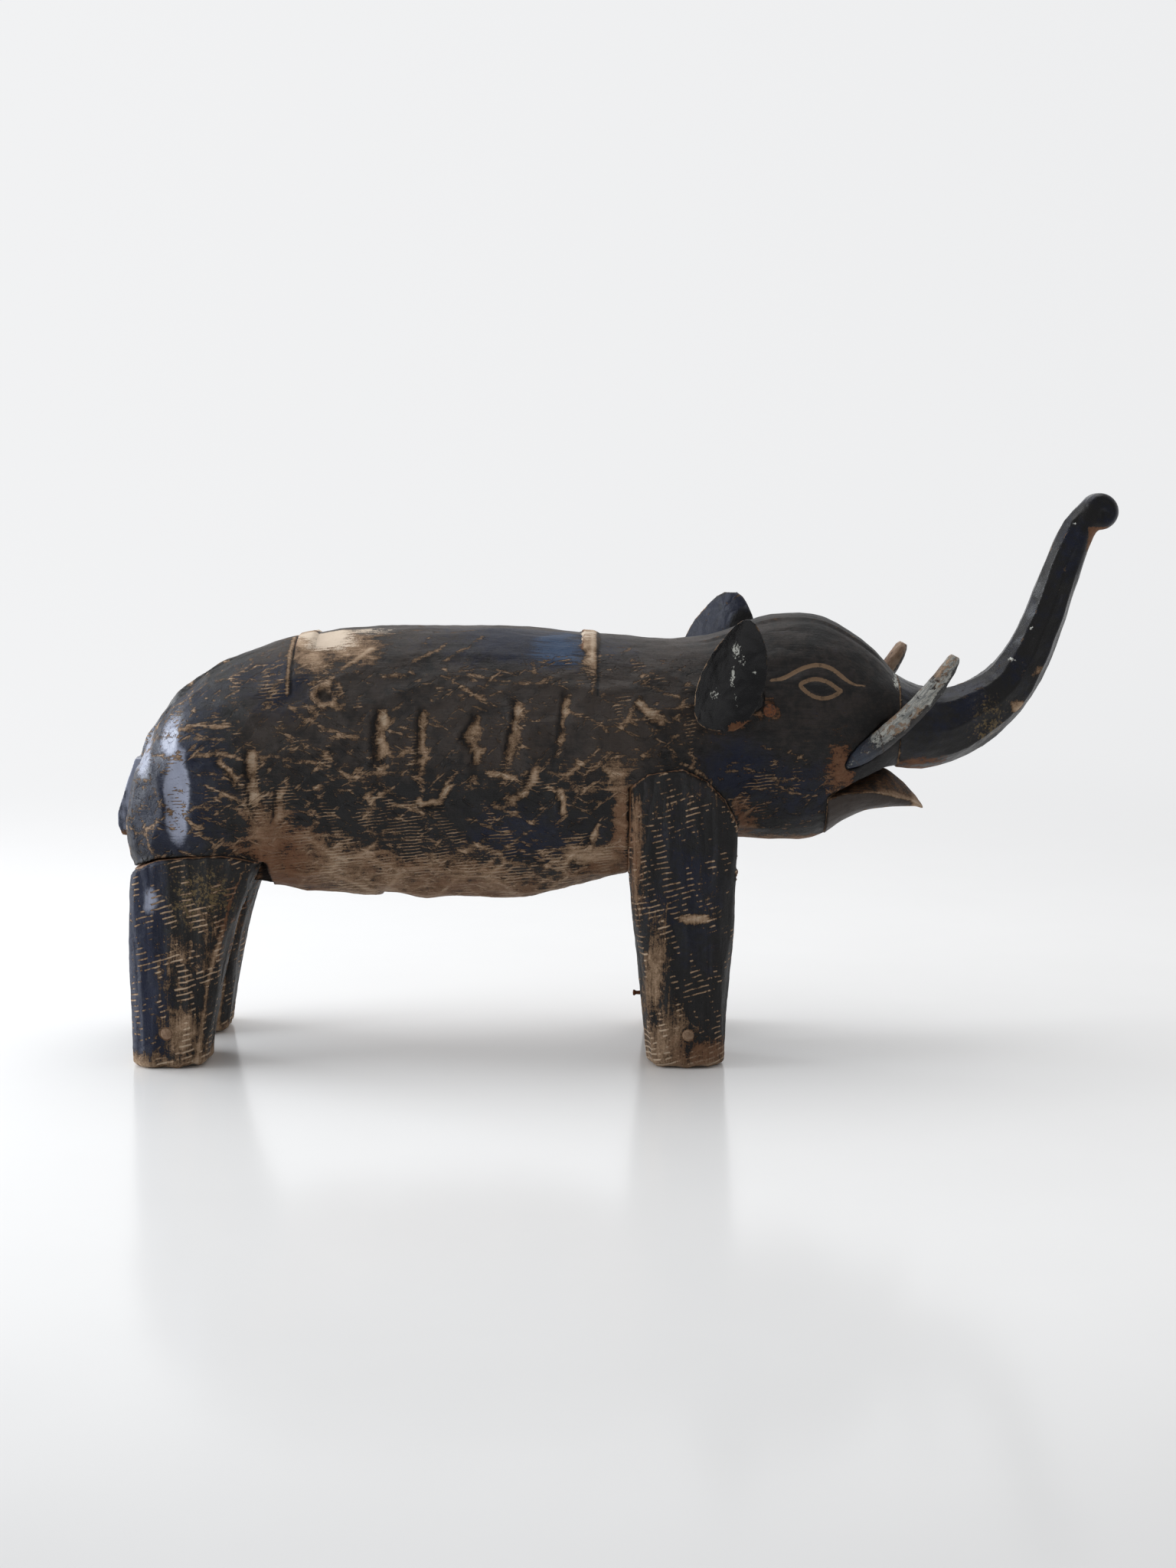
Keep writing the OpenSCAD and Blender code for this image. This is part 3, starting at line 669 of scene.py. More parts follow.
# The open joint above a hind leg: X and its height, and X and how far it stands open
HIP_LINE = [
    (-350, 132), (-333, 136), (-323, 142), (-312, 146), (-290, 148), (-268, 148), (-256, 146),
    (-240, 141)
]
HIP_GAP = [
    (-340, 1.5), (-328, 1.7), (-316, 1.7), (-300, 0.9), (-285, 0.5), (-268, -0.3), (-256, -0.3),
    (-244, -0.6)
]


def by_table(x, table):
    """The value at each x, from rows of x and value."""
    return np.interp(x, [row[0] for row in table], [row[1] for row in table])


def open_hip(leg):
    """Lowers the top of a hind leg, so that the joint stands open."""
    p = leg.p
    level = by_table(p[:, 0], HIP_LINE)
    gap = by_table(p[:, 0], HIP_GAP) * (1 + 0.25 * noise(p, 6, 102))
    p[:, 2] -= gap * step_up(p[:, 2] - level, -12, -2)


def rear_front_edge(z):
    """X of a hind leg's front edge at a height."""
    return np.interp(z, [0, 60, 115, 150], [-281, -271, -255, -240])


def carve_leg(name, rear, side):
    leg = Piece(name, 1.5, smoothing=3)
    p = leg.p
    outer = p[leg.covered < 0.1]
    seed = 200 + 2 * rear + (side > 0)
    calm = 1 - 0.5 * step_up(p[:, 2], 150, 190)
    sink, near_ridge = Facets(outer, (11, 11, 70), seed).carve(p, 1.5 * calm)
    leg.push(sink)
    cross, cross_ridge = Facets(outer, (12, 12, 9), seed + 10).carve(p, 0.28)
    leg.push(cross)
    worn = 0.45 + 0.5 * rough_noise(p, 26, seed)
    leg.mask("ridges", 0.55 * near_ridge * worn)
    leg.mask("ridges", 0.6 * cross_ridge * (worn - 0.1))
    # Painted shadow lines along the facet edges that aren't worn
    leg.mask("soiling_and_painted_shade", 0.75 * near_ridge * (1 - worn))
    foot = 9 + 7 * rough_noise(p, 15, seed + 1)
    leg.mask("bare", 0.7 * np.clip(0.5 + (foot - p[:, 2]) / 16, 0, 1))
    leg.mask("dashes", 0.78 + 0.4 * noise(p, 22, seed + 2))
    leg.close_joint(0.0 if rear else 0.7)
    part = Side(leg, side)
    if rear:
        leg.mask("navy", step_up(-p[:, 0], 296, 322) * 0.95)
        leg.mask("navy", 0.6 * (1 - part.on))
        part.patch("bare", -297, 22, 13, 20, 0.62)
        part.patch("bare", -300, 70, 10, 30, 0.30)
        part.patch("bare", -278, 96, 12, 34, 0.26)
        part.patch("ochre", -284, 118, 30, 30, 0.55)
        # A glossy oval that gives the leg's navy paint a painted highlight
        part.patch("gloss_and_painted_highlight", -316, 118, 7, 13, 0.9)
        part.patch("red", -262, 100, 10, 40, 0.8)
        edge = bump_at(p[:, 0], rear_front_edge(p[:, 2]) - 10, 2.2) * part.on
        leg.push(-0.9 * edge)
        # Painted shade in the groove along the leg's front edge
        leg.mask("soiling_and_painted_shade", 0.5 * edge)
        leg.mask("ridges", 0.6 * bump_at(p[:, 0], rear_front_edge(p[:, 2]) - 7.4, 1.3) * part.on)
        open_hip(leg)
    else:
        part.patch("bare", 27, 66, 8, 40, 0.55, lean=-0.08)
        part.patch("bare", 36, 22, 15, 24, 0.58)
        part.patch("bare", 14, 148, 5, 44, 0.55)
        part.patch("bare", 62, 10, 16, 9, 0.5)
        part.patch("red", 13, 150, 8, 50, 0.6)
        part.patch("red", 60, 12, 24, 14, 0.7)
        part.patch("bare", 54, 105, 9, 3.0, 1.1, ragged=3.0)
        part.patch("navy", 45, 120, 26, 50, 0.30)
        chip, _, _ = part.line([(45, 106), (63, 104)])
        leg.push(-1.3 * bump_at(chip, 0, 4.0) * part.on)
    leg.mask("bare", 0.9 * leg.covered)
    leg.mask("red", leg.covered)
    return leg


# The trunk's middle line in the side view
TRUNK_LINE = [(197, 233), (215, 228), (233, 230), (251, 237), (267, 248), (280, 262), (291, 281), (300, 303),
              (308, 327), (316, 350), (324, 369), (331, 377)]


def along_line(p, line):
    """For each point: how far along a line in X and Z it lies, and its offset from the line, up and right."""
    line = np.array(line, float)
    lengths = np.linalg.norm(np.diff(line, axis=0), axis=1)
    starts = np.concatenate([[0], np.cumsum(lengths)])
    best = np.full(len(p), 1e9)
    along, up = np.zeros(len(p)), np.zeros(len(p))
    for i, length in enumerate(lengths):
        direction = (line[i + 1] - line[i]) / length
        to = p[:, [0, 2]] - line[i]
        t = np.clip(to @ direction, 0, length)
        d = np.linalg.norm(to - t[:, None] * direction, axis=1)
        nearer = d < best
        best = np.where(nearer, d, best)
        along = np.where(nearer, starts[i] + t, along)
        up = np.where(nearer, direction[0] * to[:, 1] - direction[1] * to[:, 0], up)
    return along, up


def carve_trunk():
    trunk = Piece("trunk", 1.2, smoothing=3)
    p = trunk.p
    along, up = along_line(p, TRUNK_LINE)
    angle = np.arctan2(up, p[:, 1]) + 0.10 * noise(np.stack([along, along, along], 1), 30, 301)
    radius = np.hypot(up, p[:, 1])
    planes = 9
    turn = angle / (2 * math.pi / planes)
    off = (turn - np.round(turn)) * (2 * math.pi / planes)
    flat = radius * (math.cos(math.pi / planes) / np.cos(off) - 1)
    free = step_up(along, 18, 45) * (1 - step_up(p[:, 0], 318, 326))
    trunk.push(1.15 * flat * free)
    edge = bump_at(np.abs(off), math.pi / planes, 0.10) * free
    worn = 0.4 + 0.55 * rough_noise(p, 18, 302)
    trunk.mask("ridges", 0.6 * edge * worn)
    sink, near_ridge = Facets(p, (22, 16, 20), 303).carve(p, 0.4)
    trunk.push(sink)
    trunk.mask("ridges", 0.45 * near_ridge * worn)
    # Shinier paint higher up, which also puts a painted highlight on the trunk's top
    trunk.mask("gloss_and_painted_highlight", 0.5 + 0.5 * step_up(p[:, 2], 255, 290))
    trunk.mask("navy", 0.16 + 0.3 * rough_noise(p, 30, 304))
    trunk.close_joint(0.6)
    for side in SIDES:
        part = Side(trunk, side, drift=0.0 if side == RIGHT else 12.0)
        part.patch("bare", 294, 268, 6, 3, 0.72, lean=1.0)
        part.patch("bare", 318, 300, 3, 9, 0.7)
        part.patch("bare", 282, 244, 5, 3, 0.65)
        part.patch("bare", 216, 206, 22, 4, 0.40)
        part.patch("red", 216, 206, 26, 10, 0.9)
        part.patch("ochre", 262, 232, 18, 22, 0.5)
        part.patch("flecks", 277, 277, 4, 2.5, 1.0, ragged=2.0)
        part.patch("flecks", 290, 299, 3.2, 2.2, 1.0, ragged=2.0)
        part.patch("flecks", 318, 371, 1.6, 1.0, 1.0, ragged=1.0)
    nostril(trunk)
    under = (1 - step_up(p[:, 2], 199, 206)) * (1 - step_up(p[:, 0], 225, 240))
    trunk.mask("bare", 0.6 * under)
    trunk.mask("red", under)
    trunk.mask("bare", 0.9 * trunk.covered)
    return trunk


def nostril(trunk):
    """The scrolled tip: a hollow in each cheek of the scroll and one in its lip."""
    p = trunk.p
    low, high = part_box("trunk")
    tip_x, tip_z = high.x * MM - 11.5, high.z * MM - 13.5
    r = np.hypot(p[:, 0] - tip_x, p[:, 2] - tip_z)
    tip = step_up(p[:, 0], tip_x - 14, tip_x - 8)
    angle = np.arctan2(p[:, 2] - tip_z, p[:, 0] - tip_x)
    spiral = np.abs((r - 5.0 - 1.1 * angle) / 1.6)
    side_face = step_up(np.abs(p[:, 1]), 6.5, 8.5)
    trunk.push(-0.8 * bump_at(spiral, 0, 0.9) * tip * side_face * (angle < 2.0) * (angle > -2.6))
    trunk.push(-1.6 * bump_at(r, 0, 2.6) * tip * side_face)
    # Painted shade in the nostril's hollow
    trunk.mask("soiling_and_painted_shade", bump_at(r, 0, 3.2) * tip * side_face)
    lip = step_up(tip_z - p[:, 2], 8.0, 11.0) * tip
    trunk.mask("red", lip)
    trunk.mask("bare", 0.6 * lip)


def carve_jaw():
    jaw = Piece("lower_jaw", 1.2, smoothing=3)
    p = jaw.p
    sink, near_ridge = Facets(p, (15, 12, 9), 401).carve(p, 0.35)
    jaw.push(sink)
    worn = 0.35 + 0.5 * rough_noise(p, 16, 402)
    jaw.mask("ridges", 0.5 * near_ridge * worn)
    top = step_up(jaw.n[:, 2], 0.15, 0.45) * (1 - jaw.covered)
    jaw.mask("bare", 0.42 * top)
    jaw.mask("red", 0.5 * top)
    jaw.close_joint(0.7)
    jaw.mask("bare", 0.8 * step_up(p[:, 0], 206, 212))
    lip_edge = bump_at(jaw.n[:, 2], 0.3, 0.16) * step_up(p[:, 0], 152, 165)
    jaw.mask("ridges", 0.95 * lip_edge)
    scallops = bump_at(p[:, 2] - 171 - 1.5 * np.sin(p[:, 0] * 0.8), 0, 2.2) * step_up(p[:, 0], 168, 178)
    jaw.mask("bare", 0.6 * scallops)
    jaw.mask("dust", np.ones(len(p)))
    jaw.mask("bare", 0.9 * jaw.covered)
    return jaw


def carve_tail():
    tail = Piece("tail", 0.9, smoothing=2)
    p = tail.p
    sink, near_ridge = Facets(p, (9, 9, 16), 501).carve(p, 0.5)
    tail.push(sink)
    tail.mask("ridges", 0.6 * near_ridge * (0.5 + 0.5 * rough_noise(p, 10, 502)))
    # Navy and glossy all over, which gives the tail a pale blue painted highlight
    tail.mask("navy", 0.7 + 0.5 * rough_noise(p, 16, 503))
    tail.mask("gloss_and_painted_highlight", 0.8 + 0.3 * rough_noise(p, 12, 504))
    tail.mask("bare", 0.8 * (1 - step_up(p[:, 2], 152, 160)))
    tail.mask("red", 1 - step_up(p[:, 2], 152, 162))
    p[:, 2] -= 0.9 * step_up(p[:, 2], 196, 206)
    return tail


# White paint left in an ear's hollow: X, Z, half length, half height, strength
HOLLOW_FLECKS = [
    (81, 289, 4.5, 6.0, 1.0),
    (86, 281, 3.2, 4.0, 0.8),
    (79, 269, 2.4, 9.5, 1.0),
    (81, 256, 2.4, 6.0, 0.8),
    (94, 273, 3.2, 3.2, 0.9),
    (66, 259, 5.5, 5.5, 0.8),
    (68, 251, 2.6, 4.0, 0.6),
    (82, 250, 2.0, 4.0, 0.8)
]


def carve_ear(name, side):
    ear = Piece(name, 1.0, smoothing=3)
    p = ear.p
    out = p[:, 1] * side
    facing = ear.n[:, 1] * side
    blade = step_up(out, 60, 64)
    hollow = step_up(facing, 0.0, 0.35) * blade
    back = step_up(-facing, 0.0, 0.3) * blade
    sink, near_ridge = Facets(p, (17, 17, 15), 601 + side).carve(p, 0.75)
    ear.push(sink * back)
    ear.mask("ridges", 0.45 * near_ridge * back)
    small, _ = Facets(p, (13, 13, 16), 605 + side).carve(p, 0.35)
    ear.push(small * hollow)
    bend = ear.smooth_values(-ear.hollows(), 4)
    rim = step_up(bend, 0.030, 0.085) * blade
    rear = 0.55 + 0.45 * step_up(92 - p[:, 0], 0, 12)
    ear.mask("bare", rim * (0.66 + 0.45 * rough_noise(p, 9, 607)) * rear)
    ear.mask("gloss_and_painted_highlight", hollow)
    ear.mask("lacquer", hollow * (1 - rim))
    ear.mask("navy", 0.5 * back + 0.3 * back * rough_noise(p, 14, 608))
    lift = p[:, 2].max() - 309.0
    shift = 0.0 if side == RIGHT else -4.0
    part = Side(ear, side)
    for x, z, rx, rz, strength in HOLLOW_FLECKS:
        part.patch("flecks", x + shift, z + lift, rx, rz, 0.85 * strength, ragged=2.6)
    ear.masks["flecks"] = ear.masks["flecks"] * hollow
    part.patch("red", 84 + shift, 236 + lift, 14, 8, 1.0)
    part.patch("bare", 84 + shift, 235 + lift, 12, 5, 0.8)
    return ear


# A tusk's middle line in the side view
TUSK_LINE = [(159, 205), (166, 211), (179, 221), (196, 236), (212, 253), (223, 268), (230, 280), (232, 284)]


def carve_tusk(name, side):
    tusk = Piece(name, 0.8, smoothing=2)
    p = tusk.p
    setback = 0.0 if side == RIGHT else -22.0
    line = [(x + setback, z) for x, z in TUSK_LINE]
    along, up = along_line(p, line)
    sink, near_ridge = Facets(p, (9, 6, 9), 701 + side).carve(p, 0.32)
    tusk.push(sink)
    streaks = noise(np.stack([along * 0.25, up, p[:, 1]], 1), 1.6, 703)
    tusk.push(0.22 * streaks)
    tusk.push(-0.5 * step_up(rough_noise(p, 3.0, 704), 0.35, 0.7))
    low_edge = step_up(-up, 1.0, 5.0)
    foot = 1 - step_up(along, 12, 34)
    tip = step_up(along, 96, 106)
    tusk.mask("chips", 0.62 * low_edge + 0.60 * foot + 0.4 * rough_noise(p, 9, 705) + 0.18)
    tusk.mask("bare", 0.24 + 0.4 * rough_noise(p, 11, 706) + 0.25 * tip + 0.5 * (side > 0))
    tusk.mask("navy", foot)
    tusk.mask("red", 0.35 + 0.4 * rough_noise(p, 13, 708) + 0.4 * (side > 0))
    # Painted shade at the tusk's root and in its hollows
    tusk.mask("soiling_and_painted_shade", 0.7 * bump_at(along, 8, 1.0) + step_up(tusk.hollows(), 0.02, 0.08))
    crack = bump_at(along - 30 - 0.5 * up, 0, 0.7)
    tusk.push(-0.45 * crack)
    tusk.mask("soiling_and_painted_shade", crack)
    return tusk


# ---------------------------------------------------------------- materials

# The slants of the two sets of small gouges, and how worn the paint is where nothing wears it
GOUGE_RISE = math.radians(38)
GOUGE_FALL = math.radians(-24)
WEAR_BASE = -0.705
CHARCOAL = (0.0075, 0.0068, 0.0068)
# Near-black for soot-black paint, also used as painted shade
SOOT_BLACK_AND_SHADE = (0.004, 0.004, 0.005)
UMBER_FILM = (0.042, 0.031, 0.025)
BLUE_BLACK = (0.004, 0.007, 0.022)
NAVY = (0.006, 0.010, 0.032)
# Slate blue for a painted sheen on navy paint
PAINTED_SLATE_SHEEN = (0.032, 0.036, 0.052)
# Pale blue painted highlight for glossy navy paint, standing in for window glare
PAINTED_GLARE_BLUE = (0.330, 0.355, 0.450)
BRIGHT_BLUE = (0.020, 0.048, 0.105)
OCHRE = (0.17, 0.115, 0.045)
STAIN = (0.040, 0.025, 0.016)
DIRTY_WOOD = (0.105, 0.062, 0.034)
WOOD = (0.22, 0.140, 0.082)
TAN = (0.37, 0.255, 0.165)
PALE_TAN = (0.50, 0.380, 0.270)
RED_BROWN = (0.13, 0.048, 0.018)
CREAM = (0.66, 0.545, 0.43)
WHITE_PAINT = (0.55, 0.555, 0.51)
GREY_PAINT = (0.17, 0.175, 0.17)
IVORY = (0.36, 0.355, 0.32)
TUSK_BLUE = (0.020, 0.030, 0.052)
# Brown soiling and painted shade on the tusks
TUSK_SOILING_AND_SHADE = (0.050, 0.030, 0.020)
RUST = (0.20, 0.065, 0.020)
IRON = (0.030, 0.022, 0.018)


class Nodes:
    """A material's node tree, built with short calls that each return an output socket."""

    def __init__(self, owner):
        """owner is the material or world that the nodes are for."""
        self.owner = owner
        owner.use_nodes = True
        self.tree = owner.node_tree
        self.tree.nodes.clear()
        self.place = self.new("ShaderNodeTexCoord")
        self.mm = self.vector("MULTIPLY", self.place.outputs["Object"], (MM, MM, MM))

    def new(self, kind, **settings):
        node = self.tree.nodes.new(kind)
        for key, value in settings.items():
            setattr(node, key, value)
        return node

    def put(self, socket, value):
        """Links a socket to value, or sets it where value is a plain number or colour."""
        if isinstance(value, bpy.types.NodeSocket):
            self.tree.links.new(value, socket)
        elif isinstance(value, tuple) and len(value) == 3 and socket.type == "RGBA":
            socket.default_value = (*value, 1)
        else:
            socket.default_value = value

    def vector(self, operation, a, b):
        node = self.new("ShaderNodeVectorMath", operation=operation)
        self.put(node.inputs[0], a)
        self.put(node.inputs[1], b)
        return node.outputs[0]

    def math(self, operation, a, b=0.0):
        node = self.new("ShaderNodeMath", operation=operation)
        self.put(node.inputs[0], a)
        self.put(node.inputs[1], b)
        return node.outputs[0]

    def total(self, *terms):
        """The sum of share * value over the terms, each (share, value) or a number."""
        result = None
        for term in terms:
            part = self.math("MULTIPLY", term[1], term[0]) if isinstance(term, tuple) else term
            result = part if result is None else self.math("ADD", result, part)
        return result

    def noise(self, scale, detail=4.0, rough=0.55, twist=0.0, at=None):
        """Noise from 0 to 1; scale is in bumps per millimetre, one number or three."""
        if isinstance(scale, tuple):
            at, scale = self.vector("MULTIPLY", at or self.mm, scale), 1.0
        node = self.new("ShaderNodeTexNoise", noise_dimensions="3D")
        self.put(node.inputs["Vector"], at or self.mm)
        self.put(node.inputs["Scale"], scale)
        self.put(node.inputs["Detail"], detail)
        self.put(node.inputs["Roughness"], rough)
        self.put(node.inputs["Distortion"], twist)
        return node.outputs["Fac"]

    def warped(self, scale, reach):
        """The place in millimetres, shifted by up to about reach by noise."""
        node = self.new("ShaderNodeTexNoise", noise_dimensions="3D")
        self.put(node.inputs["Vector"], self.mm)
        self.put(node.inputs["Scale"], scale)
        self.put(node.inputs["Detail"], 3.0)
        shift = self.vector("SUBTRACT", node.outputs["Color"], (0.5, 0.5, 0.5))
        return self.vector("ADD", self.mm, self.vector("MULTIPLY", shift, (reach, reach, reach)))

    def turned(self, lean):
        """The place in millimetres, turned about Y by lean, in radians."""
        node = self.new("ShaderNodeMapping")
        self.put(node.inputs["Vector"], self.mm)
        node.inputs["Rotation"].default_value = (0, lean, 0)
        return node.outputs[0]

    def cell_edges(self, scale, at):
        """Distance to the nearest edge between stretched cells, 0 on it."""
        node = self.new("ShaderNodeTexVoronoi", feature="DISTANCE_TO_EDGE")
        self.put(node.inputs["Vector"], self.vector("MULTIPLY", at, scale))
        self.put(node.inputs["Scale"], 1.0)
        return node.outputs["Distance"]

    def gouges(self, lean, length, gap):
        """Scattered long scars that lie at one slant."""
        scale = (0.55 / length, 0.5 / gap, 0.5 / gap)
        return self.ramp(self.noise(scale, 4.0, 0.62, 0.3, at=self.turned(lean)), 0.575, 0.650)

    def hatch(self, at, gap, length, zone):
        """Bundles of thin cut lines gap millimetres apart that break off after about length."""
        wave = self.new("ShaderNodeTexWave", wave_type="BANDS", bands_direction="Z", wave_profile="SIN")
        self.put(wave.inputs["Vector"], at)
        self.put(wave.inputs["Scale"], 0.314 / gap)
        self.put(wave.inputs["Distortion"], 3.2)
        self.put(wave.inputs["Detail"], 2.0)
        self.put(wave.inputs["Detail Scale"], 0.7)
        lines = self.ramp(wave.outputs["Fac"], 0.66, 0.96)
        breaks = self.ramp(self.noise((1.6 / length, 1.6 / length, 0.16 / gap), 4.0, 0.6, at=at), 0.49, 0.57)
        return self.math("MULTIPLY", self.math("MULTIPLY", lines, breaks), zone)

    def wood_ramp(self, wear):
        """Bare wood by how worn it is: stained at the paint's edge, then browner, then tan."""
        node = self.new("ShaderNodeValToRGB")
        self.put(node.inputs["Fac"], wear)
        ramp = node.color_ramp
        stops = [(0.42, STAIN), (0.50, DIRTY_WOOD), (0.61, WOOD), (0.78, TAN), (0.98, PALE_TAN)]
        while len(ramp.elements) < len(stops):
            ramp.elements.new(0.5)
        for element, (place, colour) in zip(ramp.elements, stops):
            element.position = place
            element.color = (*colour, 1)
        return node.outputs["Color"]

    def masks(self, index):
        """The three masks of one of MASK_SETS."""
        node = self.new("ShaderNodeAttribute", attribute_name=f"masks_{index}")
        parts = self.new("ShaderNodeSeparateXYZ")
        self.put(parts.inputs[0], node.outputs["Vector"])
        return parts.outputs[0], parts.outputs[1], parts.outputs[2]

    def ramp(self, value, low, high, out_low=0.0, out_high=1.0):
        """Goes smoothly from out_low at low to out_high at high."""
        node = self.new("ShaderNodeMapRange", interpolation_type="SMOOTHSTEP")
        self.put(node.inputs["Value"], value)
        for key, number in (("From Min", low), ("From Max", high), ("To Min", out_low), ("To Max", out_high)):
            self.put(node.inputs[key], number)
        return node.outputs[0]

    def mix(self, share, a, b):
        """A colour that goes from a to b with share."""
        node = self.new("ShaderNodeMix", data_type="RGBA", blend_type="MIX")
        self.put(node.inputs["Factor"], share)
        self.put(node.inputs[6], a)
        self.put(node.inputs[7], b)
        return node.outputs[2]

    def blend(self, share, a, b):
        """A number that goes from a to b with share."""
        node = self.new("ShaderNodeMix", data_type="FLOAT")
        self.put(node.inputs["Factor"], share)
        self.put(node.inputs[2], a)
        self.put(node.inputs[3], b)
        return node.outputs[0]

    def surface(self, colour, roughness, height, strength, specular=0.5, metallic=0.0):
        """A surface shader whose bumps are strength metres high where height goes from 0 to 1."""
        bump = self.new("ShaderNodeBump")
        self.put(bump.inputs["Strength"], 1.0)
        self.put(bump.inputs["Distance"], strength)
        self.put(bump.inputs["Height"], height)
        shader = self.new("ShaderNodeBsdfPrincipled")
        self.put(shader.inputs["Base Color"], colour)
        self.put(shader.inputs["Roughness"], roughness)
        self.put(shader.inputs["Metallic"], metallic)
        self.put(shader.inputs["Specular IOR Level"], specular)
        self.put(shader.inputs["Normal"], bump.outputs[0])
        return shader

    def finish(self, shader):
        """Makes shader the material's surface, and returns the material."""
        out = self.new("ShaderNodeOutputMaterial")
        self.put(out.inputs["Surface"], shader.outputs[0])
        return self.owner


def painted_wood(name, grain, ridge_cells, waver, hatch_gap, hatch_length, lean,
                 patina=0.0, crests=1.0, cuts=0.30):
    """Worn black paint over wood; one wear value goes from paint to stained, brown and tan wood.

    grain and ridge_cells are in bumps per millimetre along X, Y and Z; waver, hatch_gap and
    hatch_length are in millimetres, and lean is in radians. patina is how much brown film the paint
    has, crests how strongly the gouges show where dashes is full, and cuts how worn the hatching is.
    """
    t = Nodes(bpy.data.materials.new(name))
    bare, navy, red = t.masks(0)
    gloss_and_painted_highlight, dashes, soiling_and_painted_shade = t.masks(1)
    flecks, ridges, cream = t.masks(2)
    ochre, dust, lacquer = t.masks(3)
    _, blue, cut = t.masks(4)
    fine = t.noise(0.95, 5.0, 0.66)
    medium = t.noise(0.17, 5.0, 0.62)
    large = t.noise(0.035, 4.0, 0.6)
    streaks = t.noise(grain, 6.0, 0.70, 0.5)

    edge = t.cell_edges(ridge_cells, t.warped(0.05, waver))
    spread = t.total((1.0, t.noise(0.06, 4.0)), (0.35, dashes), (0.35, streaks), -0.30)
    shown = t.ramp(spread, 0.42, 0.56)
    shown = t.math("MULTIPLY", shown, t.ramp(dashes, 0.05, 0.25, 0.0, crests))
    shown = t.math("MULTIPLY", shown, t.ramp(bare, 0.15, 0.45, 1.0, 0.15))
    crest = t.math("MULTIPLY", t.ramp(edge, 0.0, 0.045, 1.0, 0.0), shown)
    slope = t.math("MULTIPLY", t.ramp(edge, 0.0, 0.20, 1.0, 0.0), shown)
    cluster = t.total((0.55, dashes), (1.0, t.noise(0.055, 3.0)), (0.6, medium), -0.72)
    hatch = t.hatch(t.turned(lean), hatch_gap, hatch_length, t.ramp(cluster, 0.28, 0.50))
    gouges = t.math("MAXIMUM", t.gouges(GOUGE_RISE, 13, 2.4), t.gouges(GOUGE_FALL, 11, 2.2))
    gouges = t.math("MULTIPLY", gouges, t.ramp(dashes, 0.05, 0.40, 0.0, crests))

    wear = t.total((0.62, bare), (0.42, ridges), (0.09, crest), (0.07, slope), (0.21, gouges),
                   (cuts, hatch), (0.60, streaks), (0.45, medium), (0.50, fine), (0.30, large), WEAR_BASE)
    wear = t.math("SUBTRACT", wear, t.math("MULTIPLY", lacquer, 0.16))
    worn = t.ramp(wear, 0.395, 0.475)
    wood = t.wood_ramp(wear)
    reddish = t.total((0.8, red), (0.7, medium), -0.30)
    wood = t.mix(t.ramp(reddish, 0.2, 0.9, 0.0, 0.85), wood, RED_BROWN)
    creamy = t.total((1.0, cream), (1.1, streaks), (0.6, fine), -0.80)
    wood = t.mix(t.ramp(creamy, 0.38, 0.62), wood, CREAM)

    film = t.total((0.55, dust), (0.9, medium), (0.9, large), (0.5, streaks), patina - 1.15)
    paint = t.mix(t.ramp(film, 0.0, 0.55), CHARCOAL, UMBER_FILM)
    bluish = t.total((0.85, navy), (0.8, medium), (0.7, large), -0.75)
    paint = t.mix(t.ramp(bluish, 0.05, 0.45), paint, BLUE_BLACK)
    paint = t.mix(t.ramp(bluish, 0.45, 0.95), paint, NAVY)
    # Painted sheen: slate-blue spots that lighten the navy paint
    painted_sheen_spots = t.ramp(t.total((0.6, t.noise(0.3, 4.0)), (0.4, streaks)), 0.50, 0.68)
    painted_slate_sheen = t.math("MULTIPLY", navy, painted_sheen_spots)
    paint = t.mix(t.math("MULTIPLY", painted_slate_sheen, 0.7), paint, PAINTED_SLATE_SHEEN)
    # Painted highlight: pale blue where navy paint is glossy, standing in for window glare; it shows from
    # every side
    painted_glare = t.total((1.0, t.math("MULTIPLY", navy, gloss_and_painted_highlight)), (0.4, streaks), (0.2, fine), -0.30)
    paint = t.mix(t.math("MULTIPLY", t.ramp(painted_glare, 0.30, 0.62), 0.85), paint, PAINTED_GLARE_BLUE)
    bright = t.total((1.0, blue), (1.2, streaks), (0.5, fine), -0.95)
    paint = t.mix(t.ramp(bright, 0.30, 0.55), paint, BRIGHT_BLUE)
    speckle = t.total((0.42, ochre), (0.7, t.noise(0.55, 5.0, 0.7)), (0.4, medium), -0.32)
    paint = t.mix(t.ramp(speckle, 0.42, 0.52, 0.0, 0.75), paint, OCHRE)
    paint = t.mix(t.math("MULTIPLY", lacquer, 0.92), paint, SOOT_BLACK_AND_SHADE)
    colour = t.mix(worn, paint, wood)
    line = t.ramp(t.total((1.0, cut), (0.16, fine), -0.08), 0.735, 0.80)
    colour = t.mix(t.math("MULTIPLY", line, t.ramp(medium, 0.36, 0.46, 0.55, 1.0)), colour, WOOD)
    # Darkening by soiling and by painted shade in grooves, gaps, hollows and on shaded walls
    dark = t.total((0.85, soiling_and_painted_shade), (0.6, fine), -0.30)
    colour = t.mix(t.ramp(dark, 0.25, 0.80, 0.0, 0.9), colour, SOOT_BLACK_AND_SHADE)
    speck = t.total((0.75, flecks), (1.2, t.noise(0.6, 4.0, 0.65)), -0.72)
    fleck_mask = t.math("MULTIPLY", t.ramp(speck, 0.40, 0.50), t.ramp(flecks, 0.05, 0.3))
    colour = t.mix(fleck_mask, colour, WHITE_PAINT)

